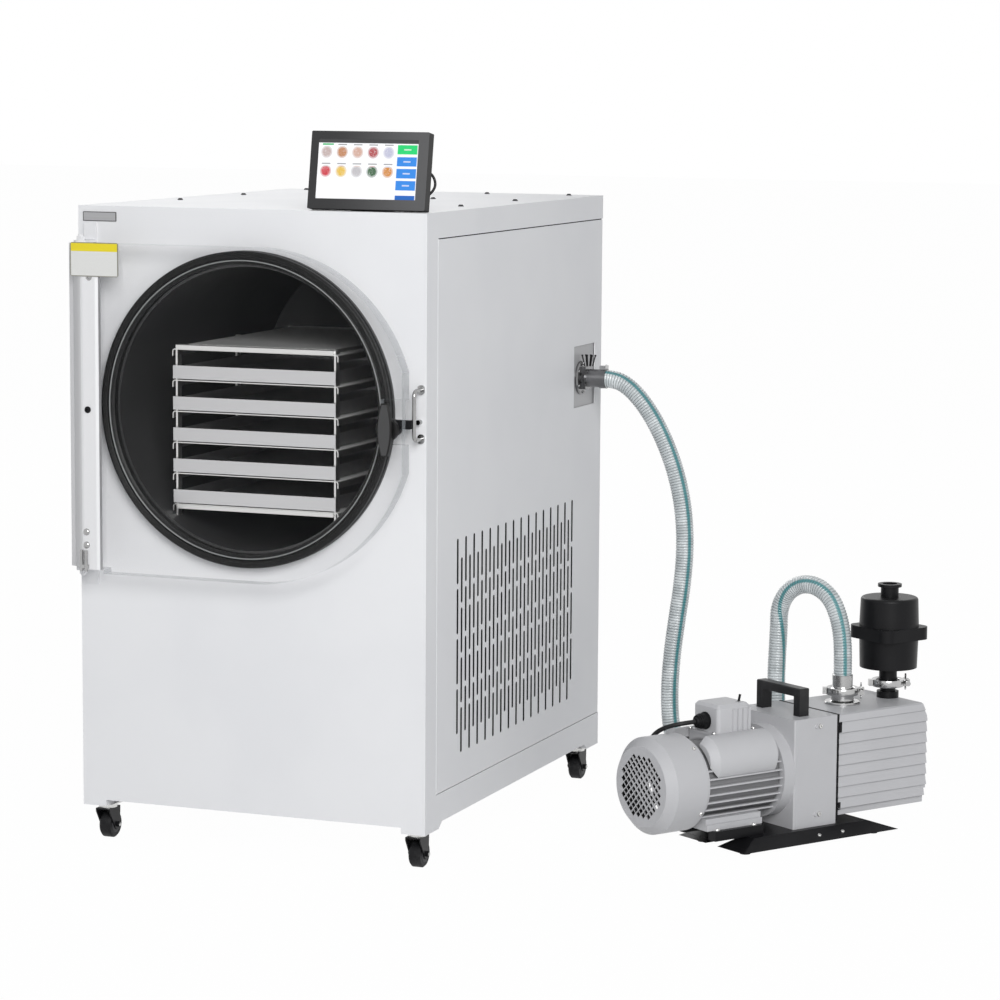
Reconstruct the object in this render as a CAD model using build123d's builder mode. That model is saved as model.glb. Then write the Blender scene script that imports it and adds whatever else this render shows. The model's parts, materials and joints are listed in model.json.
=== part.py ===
from build123d import *
from math import cos, pi, radians, sin, sqrt, tan
import os

# Freeze dryer: a sheet-metal cabinet on castors with a round vacuum chamber behind a clear
# door, a touch panel on its lid, and a rotary vane pump beside it, joined by a ribbed hose.
# Millimetres, +Z up, the floor at Z = 0. The origin is under the middle of the whole set,
# cords left out. LEFT and FRONT are the cabinet's left side and front face in that frame.

# cabinet
LEFT = -615.5
FRONT = -366.3
WIDTH = 600.0
DEPTH = 800.0
SHEET = 2.0
CASTOR_HEIGHT = 60.0
FOOT_DROP = 10.0
BASE = CASTOR_HEIGHT + FOOT_DROP
TOP = BASE + 960.0
SILL_TOP = BASE + 46.0
SKIRT_BOTTOM = TOP - 40.0
WRAP = 45.0
RIGHT = LEFT + WIDTH
BACK = FRONT + DEPTH

# vacuum chamber
CHAMBER_X = LEFT + 299.0
CHAMBER_Z = BASE + 647.0
CHAMBER_R = 224.0
CHAMBER_WALL = 3.0
CHAMBER_LENGTH = 540.0
FLANGE_R = 249.0
FLANGE_T = 6.0
GASKET_R = 228.0
GASKET_T = 18.0

# door
DOOR_T = 28.0
DOOR_BACK = FRONT - 24.3
DOOR_FRONT = DOOR_BACK - DOOR_T
DOOR_LEFT = LEFT + 36.0
DOOR_EDGE = LEFT + 581.0
DOOR_ARC_X = LEFT + 331.0
DOOR_ARC_R = 262.0
DOOR_Z = BASE + 641.0
HINGE_X = LEFT + 22.0
HINGE_Y = FRONT - 34.0
HINGE_LOW = BASE + 386.0
HINGE_HIGH = BASE + 902.0
HINGE_PIN_R = 4.0
RUN_FIT = 0.05
LATCH_X = LEFT + 558.5
LATCH_Z = BASE + 632.5
LATCH_SHAFT_R = 5.0
KEEPER_X = LEFT + 591.5
KEEPER_Y = FRONT - 29.5
KEEPER_R = 3.2

# shelf rack and trays
RACK_X = CHAMBER_X
RACK_FRONT = FRONT + 20.0
RACK_DEPTH = 440.0
RACK_HALF = 144.0
SHELF_LOW = BASE + 488.5
SHELF_PITCH = 49.5
SHELF_T = 1.6
TRAY_COUNT = 5
TRAY_H = 21.0
STRAP_X = 139.0
STRAP_W = 3.2
STRAP_D = 14.0

# touch panel
TABLET_X = LEFT + 493.0
TABLET_Y = FRONT + 9.0
TABLET_W = 197.0
TABLET_H = 121.0
TABLET_T = 20.0
TABLET_LEAN = 9.5

# vacuum port on the right side
PORT_Y = FRONT + 700.0
PORT_Z = BASE + 648.0
PORT_PLATE = 106.0
HOSE_R = 15.5

# pump: its own plane has X along the shaft, from the fan to the oil case, and Y away from
# the side that the ports are read from
PUMP_X = LEFT + 1034.3
PUMP_Y = FRONT + 507.8
PUMP_TURN = 56.8
AXIS_Z = 111.0
HOUSING_HALF = 46.0
HOUSING_SIDE = 75.0
HOUSING_LOW = 22.0
HOUSING_TOP = 203.0
OIL_START = 49.0
OIL_END = 243.0
OIL_LOW = 34.0
MOTOR_START = -229.0
MOTOR_R = 72.0
FAN_COVER_START = -303.0
FAN_COVER_R = 79.0
INLET_AT = 120.0
EXHAUST_AT = 221.0

pump = Plane(
    origin=(PUMP_X, PUMP_Y, 0),
    x_dir=(cos(radians(PUMP_TURN)), sin(radians(PUMP_TURN)), 0),
    z_dir=(0, 0, 1),
)


def across(along, height=AXIS_Z):
    """The plane across the pump's shaft: X to its far side, Y up, Z along the shaft."""
    return Plane(
        origin=pump.from_local_coords((along, 0, height)), x_dir=pump.y_dir, z_dir=pump.x_dir
    )


def front_plane(y):
    """The plane facing the front, X to the right and Y up, its origin at X = 0, Z = 0."""
    return Plane(origin=(0, y, 0), x_dir=(1, 0, 0), z_dir=(0, -1, 0))


def side_plane(x):
    """The plane facing the right, X to the back and Y up, its origin at Y = 0, Z = 0."""
    return Plane(origin=(x, 0, 0), x_dir=(0, 1, 0), z_dir=(1, 0, 0))


def save(piece, label):
    piece.part.label = label
    export_step(piece.part, f"parts/{label}.step")


def corners(low, high):
    """The centre and size of a rectangle between two corners."""
    return ((low[0] + high[0]) / 2, (low[1] + high[1]) / 2), (high[0] - low[0], high[1] - low[1])


def block(low, high):
    """Adds a block between two corners to the part in hand."""
    centre, size = corners(low, high)
    with BuildSketch(Plane.XY.offset(low[2])) as area:
        with Locations(centre):
            Rectangle(*size)
    extrude(area.sketch, amount=high[2] - low[2])


os.makedirs("parts", exist_ok=True)

# --------------------------------------------------------------------- cabinet shell
FOOT_W = 41.0
FOOT_L = 70.0
FOOT_TAPER = 14.0

with BuildPart() as base_frame:
    # a shallow tray, open below, whose walls are the cabinet's sill
    with BuildSketch(Plane.XY.offset(BASE)):
        with Locations((LEFT + WIDTH / 2, FRONT + SHEET + (DEPTH - SHEET) / 2)):
            Rectangle(WIDTH, DEPTH - SHEET)
    extrude(amount=SILL_TOP - BASE)
    with BuildSketch(Plane.XY.offset(BASE)):
        with Locations((LEFT + WIDTH / 2, FRONT + SHEET + (DEPTH - SHEET) / 2)):
            Rectangle(WIDTH - 2 * SHEET, DEPTH - 3 * SHEET)
    extrude(amount=SILL_TOP - BASE - SHEET, mode=Mode.SUBTRACT)
    # room for the front panel's wrapped edges
    for x in (LEFT, RIGHT - SHEET):
        with BuildSketch(Plane.XY.offset(BASE)):
            with Locations((x + SHEET / 2, FRONT + WRAP / 2)):
                Rectangle(SHEET, WRAP)
        extrude(amount=SILL_TOP - BASE, mode=Mode.SUBTRACT)
    # corner feet, tapered towards the middle of each side
    for x in (LEFT, RIGHT - FOOT_W):
        for y, inner in ((FRONT, 1), (BACK - FOOT_L, -1)):
            tip = y + (FOOT_L if inner > 0 else 0)
            heel = y + (0 if inner > 0 else FOOT_L)
            with BuildSketch(side_plane(x)):
                with BuildLine():
                    Polyline(
                        (heel, BASE),
                        (tip, BASE),
                        (tip - inner * FOOT_TAPER, BASE - FOOT_DROP),
                        (heel, BASE - FOOT_DROP),
                        close=True,
                    )
                make_face()
            extrude(amount=FOOT_W)
    # the floor between the feet, which ties them to the walls
    for x in (LEFT + SHEET, RIGHT - FOOT_W):
        for y in (FRONT + SHEET, BACK - FOOT_L):
            block((x, y, BASE), (x + FOOT_W - SHEET, y + FOOT_L - SHEET, BASE + SHEET))
save(base_frame, "base_frame")

BARREL_HOLE_R = CHAMBER_R + CHAMBER_WALL + 0.5

with BuildPart() as front_panel:
    with BuildSketch(Plane.XY.offset(BASE)):
        with Locations((LEFT + WIDTH / 2, FRONT + SHEET / 2)):
            Rectangle(WIDTH, SHEET)
        for x in (LEFT + SHEET / 2, RIGHT - SHEET / 2):
            with Locations((x, FRONT + WRAP / 2)):
                Rectangle(SHEET, WRAP)
    extrude(amount=TOP - BASE)
    with BuildSketch(front_plane(FRONT + SHEET)):
        with Locations((CHAMBER_X, CHAMBER_Z)):
            Circle(BARREL_HOLE_R)
    extrude(amount=SHEET, mode=Mode.SUBTRACT)
save(front_panel, "front_panel")

with BuildPart() as top_cover:
    block((LEFT, FRONT + WRAP, SKIRT_BOTTOM), (RIGHT, BACK, TOP))
    block((LEFT + SHEET, FRONT + SHEET, TOP - SHEET), (RIGHT - SHEET, FRONT + WRAP, TOP))
    with BuildSketch(Plane.XY.offset(SKIRT_BOTTOM)):
        with Locations((LEFT + WIDTH / 2, (FRONT + WRAP + BACK - SHEET) / 2)):
            Rectangle(WIDTH - 2 * SHEET, DEPTH - WRAP - SHEET)
    extrude(amount=TOP - SHEET - SKIRT_BOTTOM, mode=Mode.SUBTRACT)
save(top_cover, "top_cover")

# rows of vertical slots, every second column half a step down
SLOT_W = 3.5
SLOT_L = 73.0
SLOT_STEP = 80.5
SLOT_ROWS = 4
SLOT_PITCH = 35.0
SLOT_COLUMNS = 16
SLOT_Y = FRONT + 131.0
SLOT_HIGH = BASE + 164.5
SLOT_LOW = BASE + 132.5


def side_panel(x, columns, spacing, opening):
    """A removable side sheet with its field of slots and, if given, an opening's centre."""
    with BuildPart() as sheet:
        with BuildSketch(side_plane(x)):
            centre, size = corners((FRONT + WRAP, SILL_TOP), (BACK - SHEET, SKIRT_BOTTOM))
            with Locations(centre):
                Rectangle(*size)
            for column in range(columns):
                for row in range(SLOT_ROWS):
                    at = (SLOT_Y + column * spacing, SLOT_HIGH + row * SLOT_STEP)
                    with Locations(at):
                        Rectangle(SLOT_W, SLOT_L, mode=Mode.SUBTRACT)
            for column in range(columns - 1):
                for row in range(SLOT_ROWS):
                    at = (SLOT_Y + (column + 0.5) * spacing, SLOT_LOW + row * SLOT_STEP)
                    with Locations(at):
                        Rectangle(SLOT_W, SLOT_L, mode=Mode.SUBTRACT)
            for at in opening:
                with Locations(at):
                    Rectangle(PORT_PLATE, PORT_PLATE, mode=Mode.SUBTRACT)
        extrude(amount=SHEET)
    return sheet


PORT_SINK = 3.0
port_window = (PORT_Y + 13.0, PORT_Z + 5.0)
right_side_panel = side_panel(RIGHT - SHEET, SLOT_COLUMNS, SLOT_PITCH, [port_window])
save(right_side_panel, "right_side_panel")
left_side_panel = side_panel(LEFT, SLOT_COLUMNS // 2, 2 * SLOT_PITCH, [])
save(left_side_panel, "left_side_panel")

GRILLE_X = LEFT + 300.0
GRILLE_Z = BASE + 240.0
GRILLE_SLOT = (180.0, 6.0)
INLET_X = LEFT + 470.0
INLET_Z = BASE + 120.0
INLET_SIZE = (48.0, 28.0)

with BuildPart() as rear_panel:
    with BuildSketch(front_plane(BACK)):
        centre, size = corners((LEFT + SHEET, SILL_TOP), (RIGHT - SHEET, SKIRT_BOTTOM))
        with Locations(centre):
            Rectangle(*size)
        with Locations((GRILLE_X - 40, GRILLE_Z)):
            with GridLocations(1, 16, 1, 9):
                Rectangle(*GRILLE_SLOT, mode=Mode.SUBTRACT)
        with Locations((INLET_X, INLET_Z)):
            Rectangle(*INLET_SIZE, mode=Mode.SUBTRACT)
    extrude(amount=SHEET)
save(rear_panel, "rear_panel")

# the socket for the cabinet's own mains lead, with three blades inside
with BuildPart() as power_inlet:
    with BuildSketch(front_plane(BACK + 3)):
        with Locations((INLET_X, INLET_Z)):
            RectangleRounded(INLET_SIZE[0] + 10, INLET_SIZE[1] + 8, 4)
    extrude(amount=3)
    with BuildSketch(front_plane(BACK)):
        with Locations((INLET_X, INLET_Z)):
            Rectangle(INLET_SIZE[0] - 0.6, INLET_SIZE[1] - 0.6)
    extrude(amount=24)
    with BuildSketch(front_plane(BACK + 3)):
        with Locations((INLET_X, INLET_Z)):
            RectangleRounded(26, 18, 3)
    extrude(amount=20, mode=Mode.SUBTRACT)
    with BuildSketch(front_plane(BACK - 17)):
        with Locations((INLET_X - 7, INLET_Z - 2), (INLET_X, INLET_Z + 3), (INLET_X + 7, INLET_Z - 2)):
            Rectangle(1.6, 4.5)
    extrude(amount=-14)
save(power_inlet, "power_inlet")

# dome-headed screws that hold the lid
SCREW_R = 5.0
SCREW_H = 3.0
with BuildPart() as cover_screws:
    for x, y in (
        (50, 261), (50, 503), (50, 763), (200, 508), (200, 756),
        (400, 508), (400, 756), (550, 261), (550, 503), (550, 763),
    ):
        with BuildSketch(Plane.XY.offset(TOP)):
            with Locations((LEFT + x, FRONT + y)):
                RegularPolygon(SCREW_R, 12)
        extrude(amount=SCREW_H, taper=35)
save(cover_screws, "cover_screws")

# ------------------------------------------------------------------- vacuum chamber
chamber_axis = Axis((CHAMBER_X, 0, CHAMBER_Z), (0, 1, 0))
chamber_section = Plane(
    origin=(CHAMBER_X, FRONT, CHAMBER_Z), x_dir=(1, 0, 0), z_dir=(0, 0, 1)
)
# in that section X is the radius and Y runs to the back
DISH = 45.0

# the vacuum line from the dished end to the port
LINE_R = 16.0
LINE_WALL = 1.5
line_route = [
    (CHAMBER_X, FRONT + CHAMBER_LENGTH + DISH - CHAMBER_WALL / 2, CHAMBER_Z),
    (CHAMBER_X, PORT_Y - 40, CHAMBER_Z),
    (CHAMBER_X + 40, PORT_Y, CHAMBER_Z),
    (RIGHT - SHEET - PORT_SINK - 2, PORT_Y, PORT_Z + 2),
]

with BuildPart() as vacuum_chamber:
    with BuildSketch(chamber_section):
        with BuildLine():
            inner, outer, neck = CHAMBER_R, CHAMBER_R + CHAMBER_WALL, LINE_R - LINE_WALL
            Polyline(
                (inner, -FLANGE_T),
                (FLANGE_R, -FLANGE_T),
                (FLANGE_R, 0),
                (outer, 0),
                (outer, CHAMBER_LENGTH),
            )
            ThreePointArc(
                (outer, CHAMBER_LENGTH),
                (outer * 0.6, CHAMBER_LENGTH + DISH * 0.66),
                (neck, CHAMBER_LENGTH + DISH),
            )
            Line((neck, CHAMBER_LENGTH + DISH), (neck, CHAMBER_LENGTH + DISH - CHAMBER_WALL))
            ThreePointArc(
                (neck, CHAMBER_LENGTH + DISH - CHAMBER_WALL),
                (inner * 0.6, CHAMBER_LENGTH + (DISH - CHAMBER_WALL) * 0.66),
                (inner, CHAMBER_LENGTH),
            )
            Line((inner, CHAMBER_LENGTH), (inner, -FLANGE_T))
        make_face()
    revolve(axis=chamber_axis)
    with BuildLine():
        path = FilletPolyline(*line_route, radius=[25, 25])
    with BuildSketch(Plane(origin=path @ 0, z_dir=path % 0)):
        Circle(LINE_R)
        Circle(LINE_R - LINE_WALL, mode=Mode.SUBTRACT)
    sweep()
save(vacuum_chamber, "vacuum_chamber")

# a ring with a raised lip outside and a stepped inner edge
with BuildPart() as chamber_gasket:
    with BuildSketch(chamber_section):
        with BuildLine():
            Polyline(
                (GASKET_R, -FLANGE_T),
                (GASKET_R, -FLANGE_T - 11),
                (GASKET_R + 4, -FLANGE_T - 13),
                (GASKET_R + 7, -FLANGE_T - GASKET_T),
                (GASKET_R + 10, -FLANGE_T - GASKET_T + 1.5),
                (GASKET_R + 12, -FLANGE_T - GASKET_T),
                (FLANGE_R - 3, -FLANGE_T - GASKET_T),
                (FLANGE_R, -FLANGE_T - GASKET_T + 3),
                (FLANGE_R, -FLANGE_T),
                close=True,
            )
        make_face()
    revolve(axis=chamber_axis)
save(chamber_gasket, "chamber_gasket")

# ---------------------------------------------------------------- refrigeration unit
COMPRESSOR = (LEFT + 170.0, FRONT + 560.0)
CONDENSER_X = RIGHT - 70.0
CONDENSER_Y = FRONT + 390.0
FAN_R = 112.0
FAN_Z = SILL_TOP + 150.0
MOTOR_POD = 30.0

with BuildPart() as refrigeration_unit:
    # the hermetic compressor on its mounting plate
    block(
        (COMPRESSOR[0] - 95, COMPRESSOR[1] - 75, SILL_TOP),
        (COMPRESSOR[0] + 95, COMPRESSOR[1] + 75, SILL_TOP + 4),
    )
    with BuildSketch(Plane.XY.offset(SILL_TOP + 4)):
        with Locations(COMPRESSOR):
            Ellipse(85, 65)
    extrude(amount=160)
    fillet(faces().sort_by(Axis.Z)[-1].edges(), 30)
    # the condenser block, its shroud ring and the fan motor's pod
    block(
        (CONDENSER_X, CONDENSER_Y - 150, SILL_TOP), (CONDENSER_X + 40, CONDENSER_Y + 150, SILL_TOP + 300)
    )
    with BuildSketch(side_plane(CONDENSER_X)):
        with Locations((CONDENSER_Y, FAN_Z)):
            Rectangle(300, 300)
            Circle(FAN_R + 6, mode=Mode.SUBTRACT)
    extrude(amount=-26)
    with BuildSketch(side_plane(CONDENSER_X)):
        with Locations((CONDENSER_Y, FAN_Z)):
            Circle(MOTOR_POD)
    extrude(amount=-6)
    with BuildSketch(side_plane(CONDENSER_X - 6)):
        with Locations((CONDENSER_Y, FAN_Z)):
            Circle(4)
    extrude(amount=-16)
save(refrigeration_unit, "refrigeration_unit")

BLADES = 5
with BuildPart() as condenser_fan:
    with BuildSketch(side_plane(CONDENSER_X - 7)):
        with Locations((CONDENSER_Y, FAN_Z)):
            Circle(26)
            Circle(4 + RUN_FIT, mode=Mode.SUBTRACT)
    extrude(amount=-14)
    for blade in range(BLADES):
        turn = blade * 360 / BLADES
        arm = Plane(
            origin=(CONDENSER_X - 14, CONDENSER_Y, FAN_Z),
            x_dir=(0, cos(radians(turn)), sin(radians(turn))),
            z_dir=(0, -sin(radians(turn)), cos(radians(turn))),
        ).rotated((28, 0, 0))
        with BuildSketch(arm.offset(-1)):
            with BuildLine():
                Polyline((22, -7), (22, 7), (FAN_R - 8, 20), (FAN_R - 4, -14), close=True)
            make_face()
        extrude(amount=2)
save(condenser_fan, "condenser_fan")

# ------------------------------------------------------------------- shelves and trays
BEND_R = 4.0
HOOK = 11.0
RAIL_H = 6.0
TOP_SHELF = SHELF_LOW + TRAY_COUNT * SHELF_PITCH
RACK_BACK = RACK_FRONT + RACK_DEPTH
STRAP_REACH = 20.0

# six upright straps, three on each side, which stand on the curved chamber wall
with BuildPart() as rack_straps:
    for side in (-1, 1):
        for y in (RACK_FRONT + 2, RACK_FRONT + RACK_DEPTH / 2, RACK_BACK - STRAP_D):
            with BuildSketch(Plane.XY.offset(SHELF_LOW - STRAP_REACH)):
                with Locations((RACK_X + side * (STRAP_X - STRAP_W / 2), y + STRAP_D / 2)):
                    Rectangle(STRAP_W, STRAP_D)
            extrude(amount=TOP_SHELF + RAIL_H - SHELF_LOW + STRAP_REACH)
    with BuildSketch(front_plane(RACK_BACK)):
        with Locations((CHAMBER_X, CHAMBER_Z)):
            Circle(CHAMBER_R)
    extrude(amount=RACK_DEPTH, mode=Mode.INTERSECT)

with BuildPart() as rack_shelves:
    # each shelf is one sheet with both sides bent down over the straps
    for shelf in range(TRAY_COUNT + 1):
        z = SHELF_LOW + shelf * SHELF_PITCH
        with BuildSketch(front_plane(RACK_BACK)):
            with BuildLine():
                spine = FilletPolyline(
                    (RACK_X - RACK_HALF + SHELF_T / 2, z - HOOK),
                    (RACK_X - RACK_HALF + SHELF_T / 2, z - SHELF_T / 2),
                    (RACK_X + RACK_HALF - SHELF_T / 2, z - SHELF_T / 2),
                    (RACK_X + RACK_HALF - SHELF_T / 2, z - HOOK),
                    radius=BEND_R,
                )
                offset(spine, amount=SHELF_T / 2, side=Side.BOTH)
            make_face()
        extrude(amount=RACK_DEPTH)
    add(rack_straps.part, mode=Mode.SUBTRACT)

# box rails above the top shelf and below the bottom one, with the top plate set back
RAIL_HALF = STRAP_X - STRAP_W
with BuildPart() as rack_rails:
    for z in (TOP_SHELF, SHELF_LOW - SHELF_T - RAIL_H):
        for y, depth in ((RACK_FRONT - 2, 18), (RACK_BACK - 16, 16)):
            block((RACK_X - RAIL_HALF, y, z), (RACK_X + RAIL_HALF, y + depth, z + RAIL_H))
    block(
        (RACK_X - RAIL_HALF + 8, RACK_FRONT + 26, TOP_SHELF),
        (RACK_X + RAIL_HALF - 8, RACK_BACK - 26, TOP_SHELF + RAIL_H),
    )

# the rack is riveted up from these pieces, which stay separate solids of one node
rack_pieces = [*rack_shelves.solids(), *rack_straps.solids(), *rack_rails.solids()]
tray_rack = Compound(rack_pieces, label="tray_rack")
export_step(tray_rack, "parts/tray_rack.step")

TRAY_HALF = 131.0
TRAY_LIP_HALF = 141.0
TRAY_DEPTH = 420.0
TRAY_T = 1.2
TRAY_GAP = 2.2

for level in range(TRAY_COUNT):
    floor_z = SHELF_LOW + level * SHELF_PITCH + TRAY_GAP
    with BuildPart() as tray:
        low = (RACK_X - TRAY_HALF, RACK_FRONT - 2, floor_z)
        high = (RACK_X + TRAY_HALF, RACK_FRONT + TRAY_DEPTH, floor_z + TRAY_H - 1)
        block(low, high)
        offset(amount=-TRAY_T, openings=faces().sort_by(Axis.Z)[-1])
        # the front lip is wider than the pan and covers the straps
        block(
            (RACK_X - TRAY_LIP_HALF, RACK_FRONT - 4, floor_z),
            (RACK_X + TRAY_LIP_HALF, RACK_FRONT - 2, floor_z + TRAY_H),
        )
        # pressed feet that stand on the shelf
        for x in (-100, 100):
            block(
                (RACK_X + x - 6, RACK_FRONT + 20, floor_z - TRAY_GAP),
                (RACK_X + x + 6, RACK_FRONT + TRAY_DEPTH - 20, floor_z),
            )
    save(tray, f"tray_{level + 1}")

# ------------------------------------------------------------------------------ door
POCKET_T = 14.0
POCKET_LOW = BASE + 607.0
POCKET_HIGH = BASE + 676.0
LUG_CLEAR = LEFT + 67.0

with BuildPart() as door_plate:
    with BuildSketch(front_plane(DOOR_BACK)):
        with Locations((DOOR_ARC_X, DOOR_Z)):
            Circle(DOOR_ARC_R)
        centre, size = corners(
            (DOOR_LEFT, DOOR_Z - DOOR_ARC_R), (DOOR_ARC_X, DOOR_Z + DOOR_ARC_R)
        )
        with Locations(centre):
            Rectangle(*size)
        # flat beside the latch
        with Locations((DOOR_EDGE + 50, DOOR_Z)):
            Rectangle(100, 400, mode=Mode.SUBTRACT)
        # corner notches for the hinge lugs
        for low, high in (
            (DOOR_Z - DOOR_ARC_R - 1, HINGE_LOW), (HINGE_HIGH, DOOR_Z + DOOR_ARC_R + 1)
        ):
            centre, size = corners((DOOR_LEFT - 1, low), (LUG_CLEAR, high))
            with Locations(centre):
                Rectangle(*size, mode=Mode.SUBTRACT)
    extrude(amount=DOOR_T)
    chamfer(edges().group_by(Axis.Y)[0], 1)
    # the pocket behind the edge, where the latch arm turns
    with BuildSketch(front_plane(DOOR_BACK)):
        centre, size = corners((LATCH_X - 19, POCKET_LOW), (DOOR_EDGE + 1, POCKET_HIGH))
        with Locations(centre):
            Rectangle(*size)
    extrude(amount=POCKET_T, mode=Mode.SUBTRACT)
    with BuildSketch(front_plane(DOOR_BACK)):
        with Locations((LATCH_X, LATCH_Z)):
            Circle(LATCH_SHAFT_R + RUN_FIT)
    extrude(amount=DOOR_T, mode=Mode.SUBTRACT)
save(door_plate, "door_plate")

# the hinge stile: one extrusion whose front wall laps over the clear plate
STILE_FRONT = FRONT - 60.0
with BuildPart() as door_hinge_strip:
    with BuildSketch(Plane.XY.offset(HINGE_LOW)):
        with BuildLine():
            Polyline(
                (LEFT, FRONT - 18),
                (LEFT, FRONT - 32),
                (LEFT + 8, FRONT - 34),
                (LEFT + 34, STILE_FRONT + 1),
                (LEFT + 38, STILE_FRONT),
                (LEFT + 60, STILE_FRONT),
                (LEFT + 65, STILE_FRONT + 2),
                (LEFT + 66, DOOR_FRONT),
                (DOOR_LEFT, DOOR_FRONT),
                (DOOR_LEFT, FRONT - 14),
                (LEFT + 32, FRONT - 10),
                (LEFT + 8, FRONT - 10),
                close=True,
            )
        make_face()
        with Locations((HINGE_X, HINGE_Y)):
            Circle(HINGE_PIN_R + RUN_FIT, mode=Mode.SUBTRACT)
    extrude(amount=HINGE_HIGH - HINGE_LOW)
save(door_hinge_strip, "door_hinge_strip")

LUG_T = 4.6
PIN_REACH = 40.0
with BuildPart() as hinge_bracket:
    for z, inward in ((HINGE_LOW - 0.4, 1), (HINGE_HIGH + 0.4, -1)):
        far = z - inward * LUG_T
        low, high = min(z, far), max(z, far)
        # lug plate, rounded round the pin, with its flange on the cabinet's front
        with BuildSketch(Plane.XY.offset(low)):
            with Locations((HINGE_X, HINGE_Y)):
                Circle(11)
            with Locations((HINGE_X, (HINGE_Y + FRONT) / 2)):
                Rectangle(22, FRONT - HINGE_Y)
        extrude(amount=LUG_T)
        flange = (low - 26, low) if inward > 0 else (high, high + 26)
        block(
            (HINGE_X - 11, FRONT - 3, min(flange)), (HINGE_X + 11, FRONT, max(flange))
        )
        # the pin, pressed into the lug, with its nut outside
        start = far - inward * 9
        with BuildSketch(Plane.XY.offset(start)):
            with Locations((HINGE_X, HINGE_Y)):
                Circle(HINGE_PIN_R)
        extrude(amount=inward * (PIN_REACH + LUG_T + 9))
        with BuildSketch(Plane.XY.offset(far)):
            with Locations((HINGE_X, HINGE_Y)):
                RegularPolygon(7, 6)
        extrude(amount=-inward * 6)
save(hinge_bracket, "hinge_bracket")

# dome screws through the stile, and the lift-off clip at its foot
with BuildPart() as hinge_screws:
    for z in (425, 446, 826):
        with BuildSketch(front_plane(STILE_FRONT)):
            with Locations((LEFT + 42, BASE + z)):
                RegularPolygon(5.6, 16)
        extrude(amount=3.4, taper=38)
    for x in (34, 42):
        with BuildSketch(Plane.XY.offset(BASE + 383)):
            with Locations((LEFT + x, STILE_FRONT - 2.8)):
                RegularPolygon(2.8, 12)
        extrude(amount=34)
    block(
        (LEFT + 34, STILE_FRONT - 4.5, BASE + 388), (LEFT + 46, STILE_FRONT, BASE + 394)
    )
save(hinge_screws, "hinge_screws")

# knob: a round boss on the door with an upright lozenge grip across it
BOSS_R = 22.8
BOSS_T = 9.0
GRIP_HALF = 11.5
GRIP_END = 5.5
GRIP_REACH = 40.5
GRIP_T = 9.0
with BuildPart() as latch_knob:
    with BuildSketch(front_plane(DOOR_FRONT)):
        with Locations((LATCH_X, LATCH_Z)):
            RegularPolygon(BOSS_R, 16)
    extrude(amount=BOSS_T)
    chamfer(edges().group_by(Axis.Y)[0], 2)
    with BuildSketch(front_plane(DOOR_FRONT - BOSS_T)):
        with BuildLine():
            low, high = LATCH_Z - GRIP_REACH, LATCH_Z + GRIP_REACH
            for side in (-1, 1):
                ThreePointArc(
                    (LATCH_X + side * GRIP_END, low),
                    (LATCH_X + side * GRIP_HALF, LATCH_Z),
                    (LATCH_X + side * GRIP_END, high),
                )
            for z in (low, high):
                Line((LATCH_X - GRIP_END, z), (LATCH_X + GRIP_END, z))
        make_face()
    extrude(amount=GRIP_T)
    chamfer(edges().group_by(Axis.Y)[0], 1.5)
    with BuildSketch(front_plane(DOOR_FRONT)):
        with Locations((LATCH_X, LATCH_Z)):
            Circle(LATCH_SHAFT_R)
    extrude(amount=-(DOOR_T - POCKET_T))
save(latch_knob, "latch_knob")

# latch arm on the same shaft, in the pocket, pointing at the keeper
ARM_T = 10.0
ARM_BACK = DOOR_BACK - POCKET_T + 1.5
with BuildPart() as latch_arm:
    with BuildSketch(front_plane(ARM_BACK + ARM_T)):
        with Locations((LATCH_X, LATCH_Z)):
            Circle(13)
        centre, size = corners((LATCH_X, LATCH_Z - 1), (KEEPER_X - KEEPER_R - 1, LATCH_Z + 12.5))
        with Locations(centre):
            Rectangle(*size)
    extrude(amount=ARM_T)
    with BuildSketch(front_plane(ARM_BACK)):
        with Locations((LATCH_X, LATCH_Z)):
            Circle(LATCH_SHAFT_R)
    extrude(amount=1.5)
save(latch_arm, "latch_arm")

# keeper: a bent rod standing off the front, its ends flattened into eyes
KEEPER_LOW = BASE + 613.5
KEEPER_HIGH = BASE + 689.5
with BuildPart() as latch_keeper:
    with BuildLine():
        rod = FilletPolyline(
            (KEEPER_X, FRONT - 3, KEEPER_LOW),
            (KEEPER_X, KEEPER_Y, KEEPER_LOW),
            (KEEPER_X, KEEPER_Y, KEEPER_HIGH),
            (KEEPER_X, FRONT - 3, KEEPER_HIGH),
            radius=9,
        )
    with BuildSketch(Plane(origin=rod @ 0, z_dir=rod % 0)):
        Circle(KEEPER_R)
    sweep()
    for z in (KEEPER_LOW, KEEPER_HIGH):
        with BuildSketch(front_plane(FRONT)):
            with Locations((KEEPER_X, z)):
                RectangleRounded(11, 15, 5)
        extrude(amount=3)
    # the small roller beside it
    with BuildSketch(front_plane(FRONT)):
        with Locations((LEFT + 589, BASE + 639.6)):
            RegularPolygon(4, 16)
    extrude(amount=9)
save(latch_keeper, "latch_keeper")

# bare plates: one on the cabinet's front, one screwed over the hinge stile and the door
with BuildPart() as badge_plate:
    with BuildSketch(front_plane(FRONT)):
        with Locations((LEFT + 38.5, BASE + 943)):
            RectangleRounded(59, 15, 1)
    extrude(amount=1.2)
save(badge_plate, "badge_plate")

LABEL_LOW = BASE + 851.5
LABEL_HIGH = BASE + 905.0
with BuildPart() as label_plate:
    with BuildSketch(front_plane(STILE_FRONT)):
        centre, size = corners((LEFT + 18, LABEL_LOW), (LEFT + 102, LABEL_HIGH))
        with Locations(centre):
            Rectangle(*size)
    extrude(amount=1.5)
save(label_plate, "label_plate")

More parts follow.
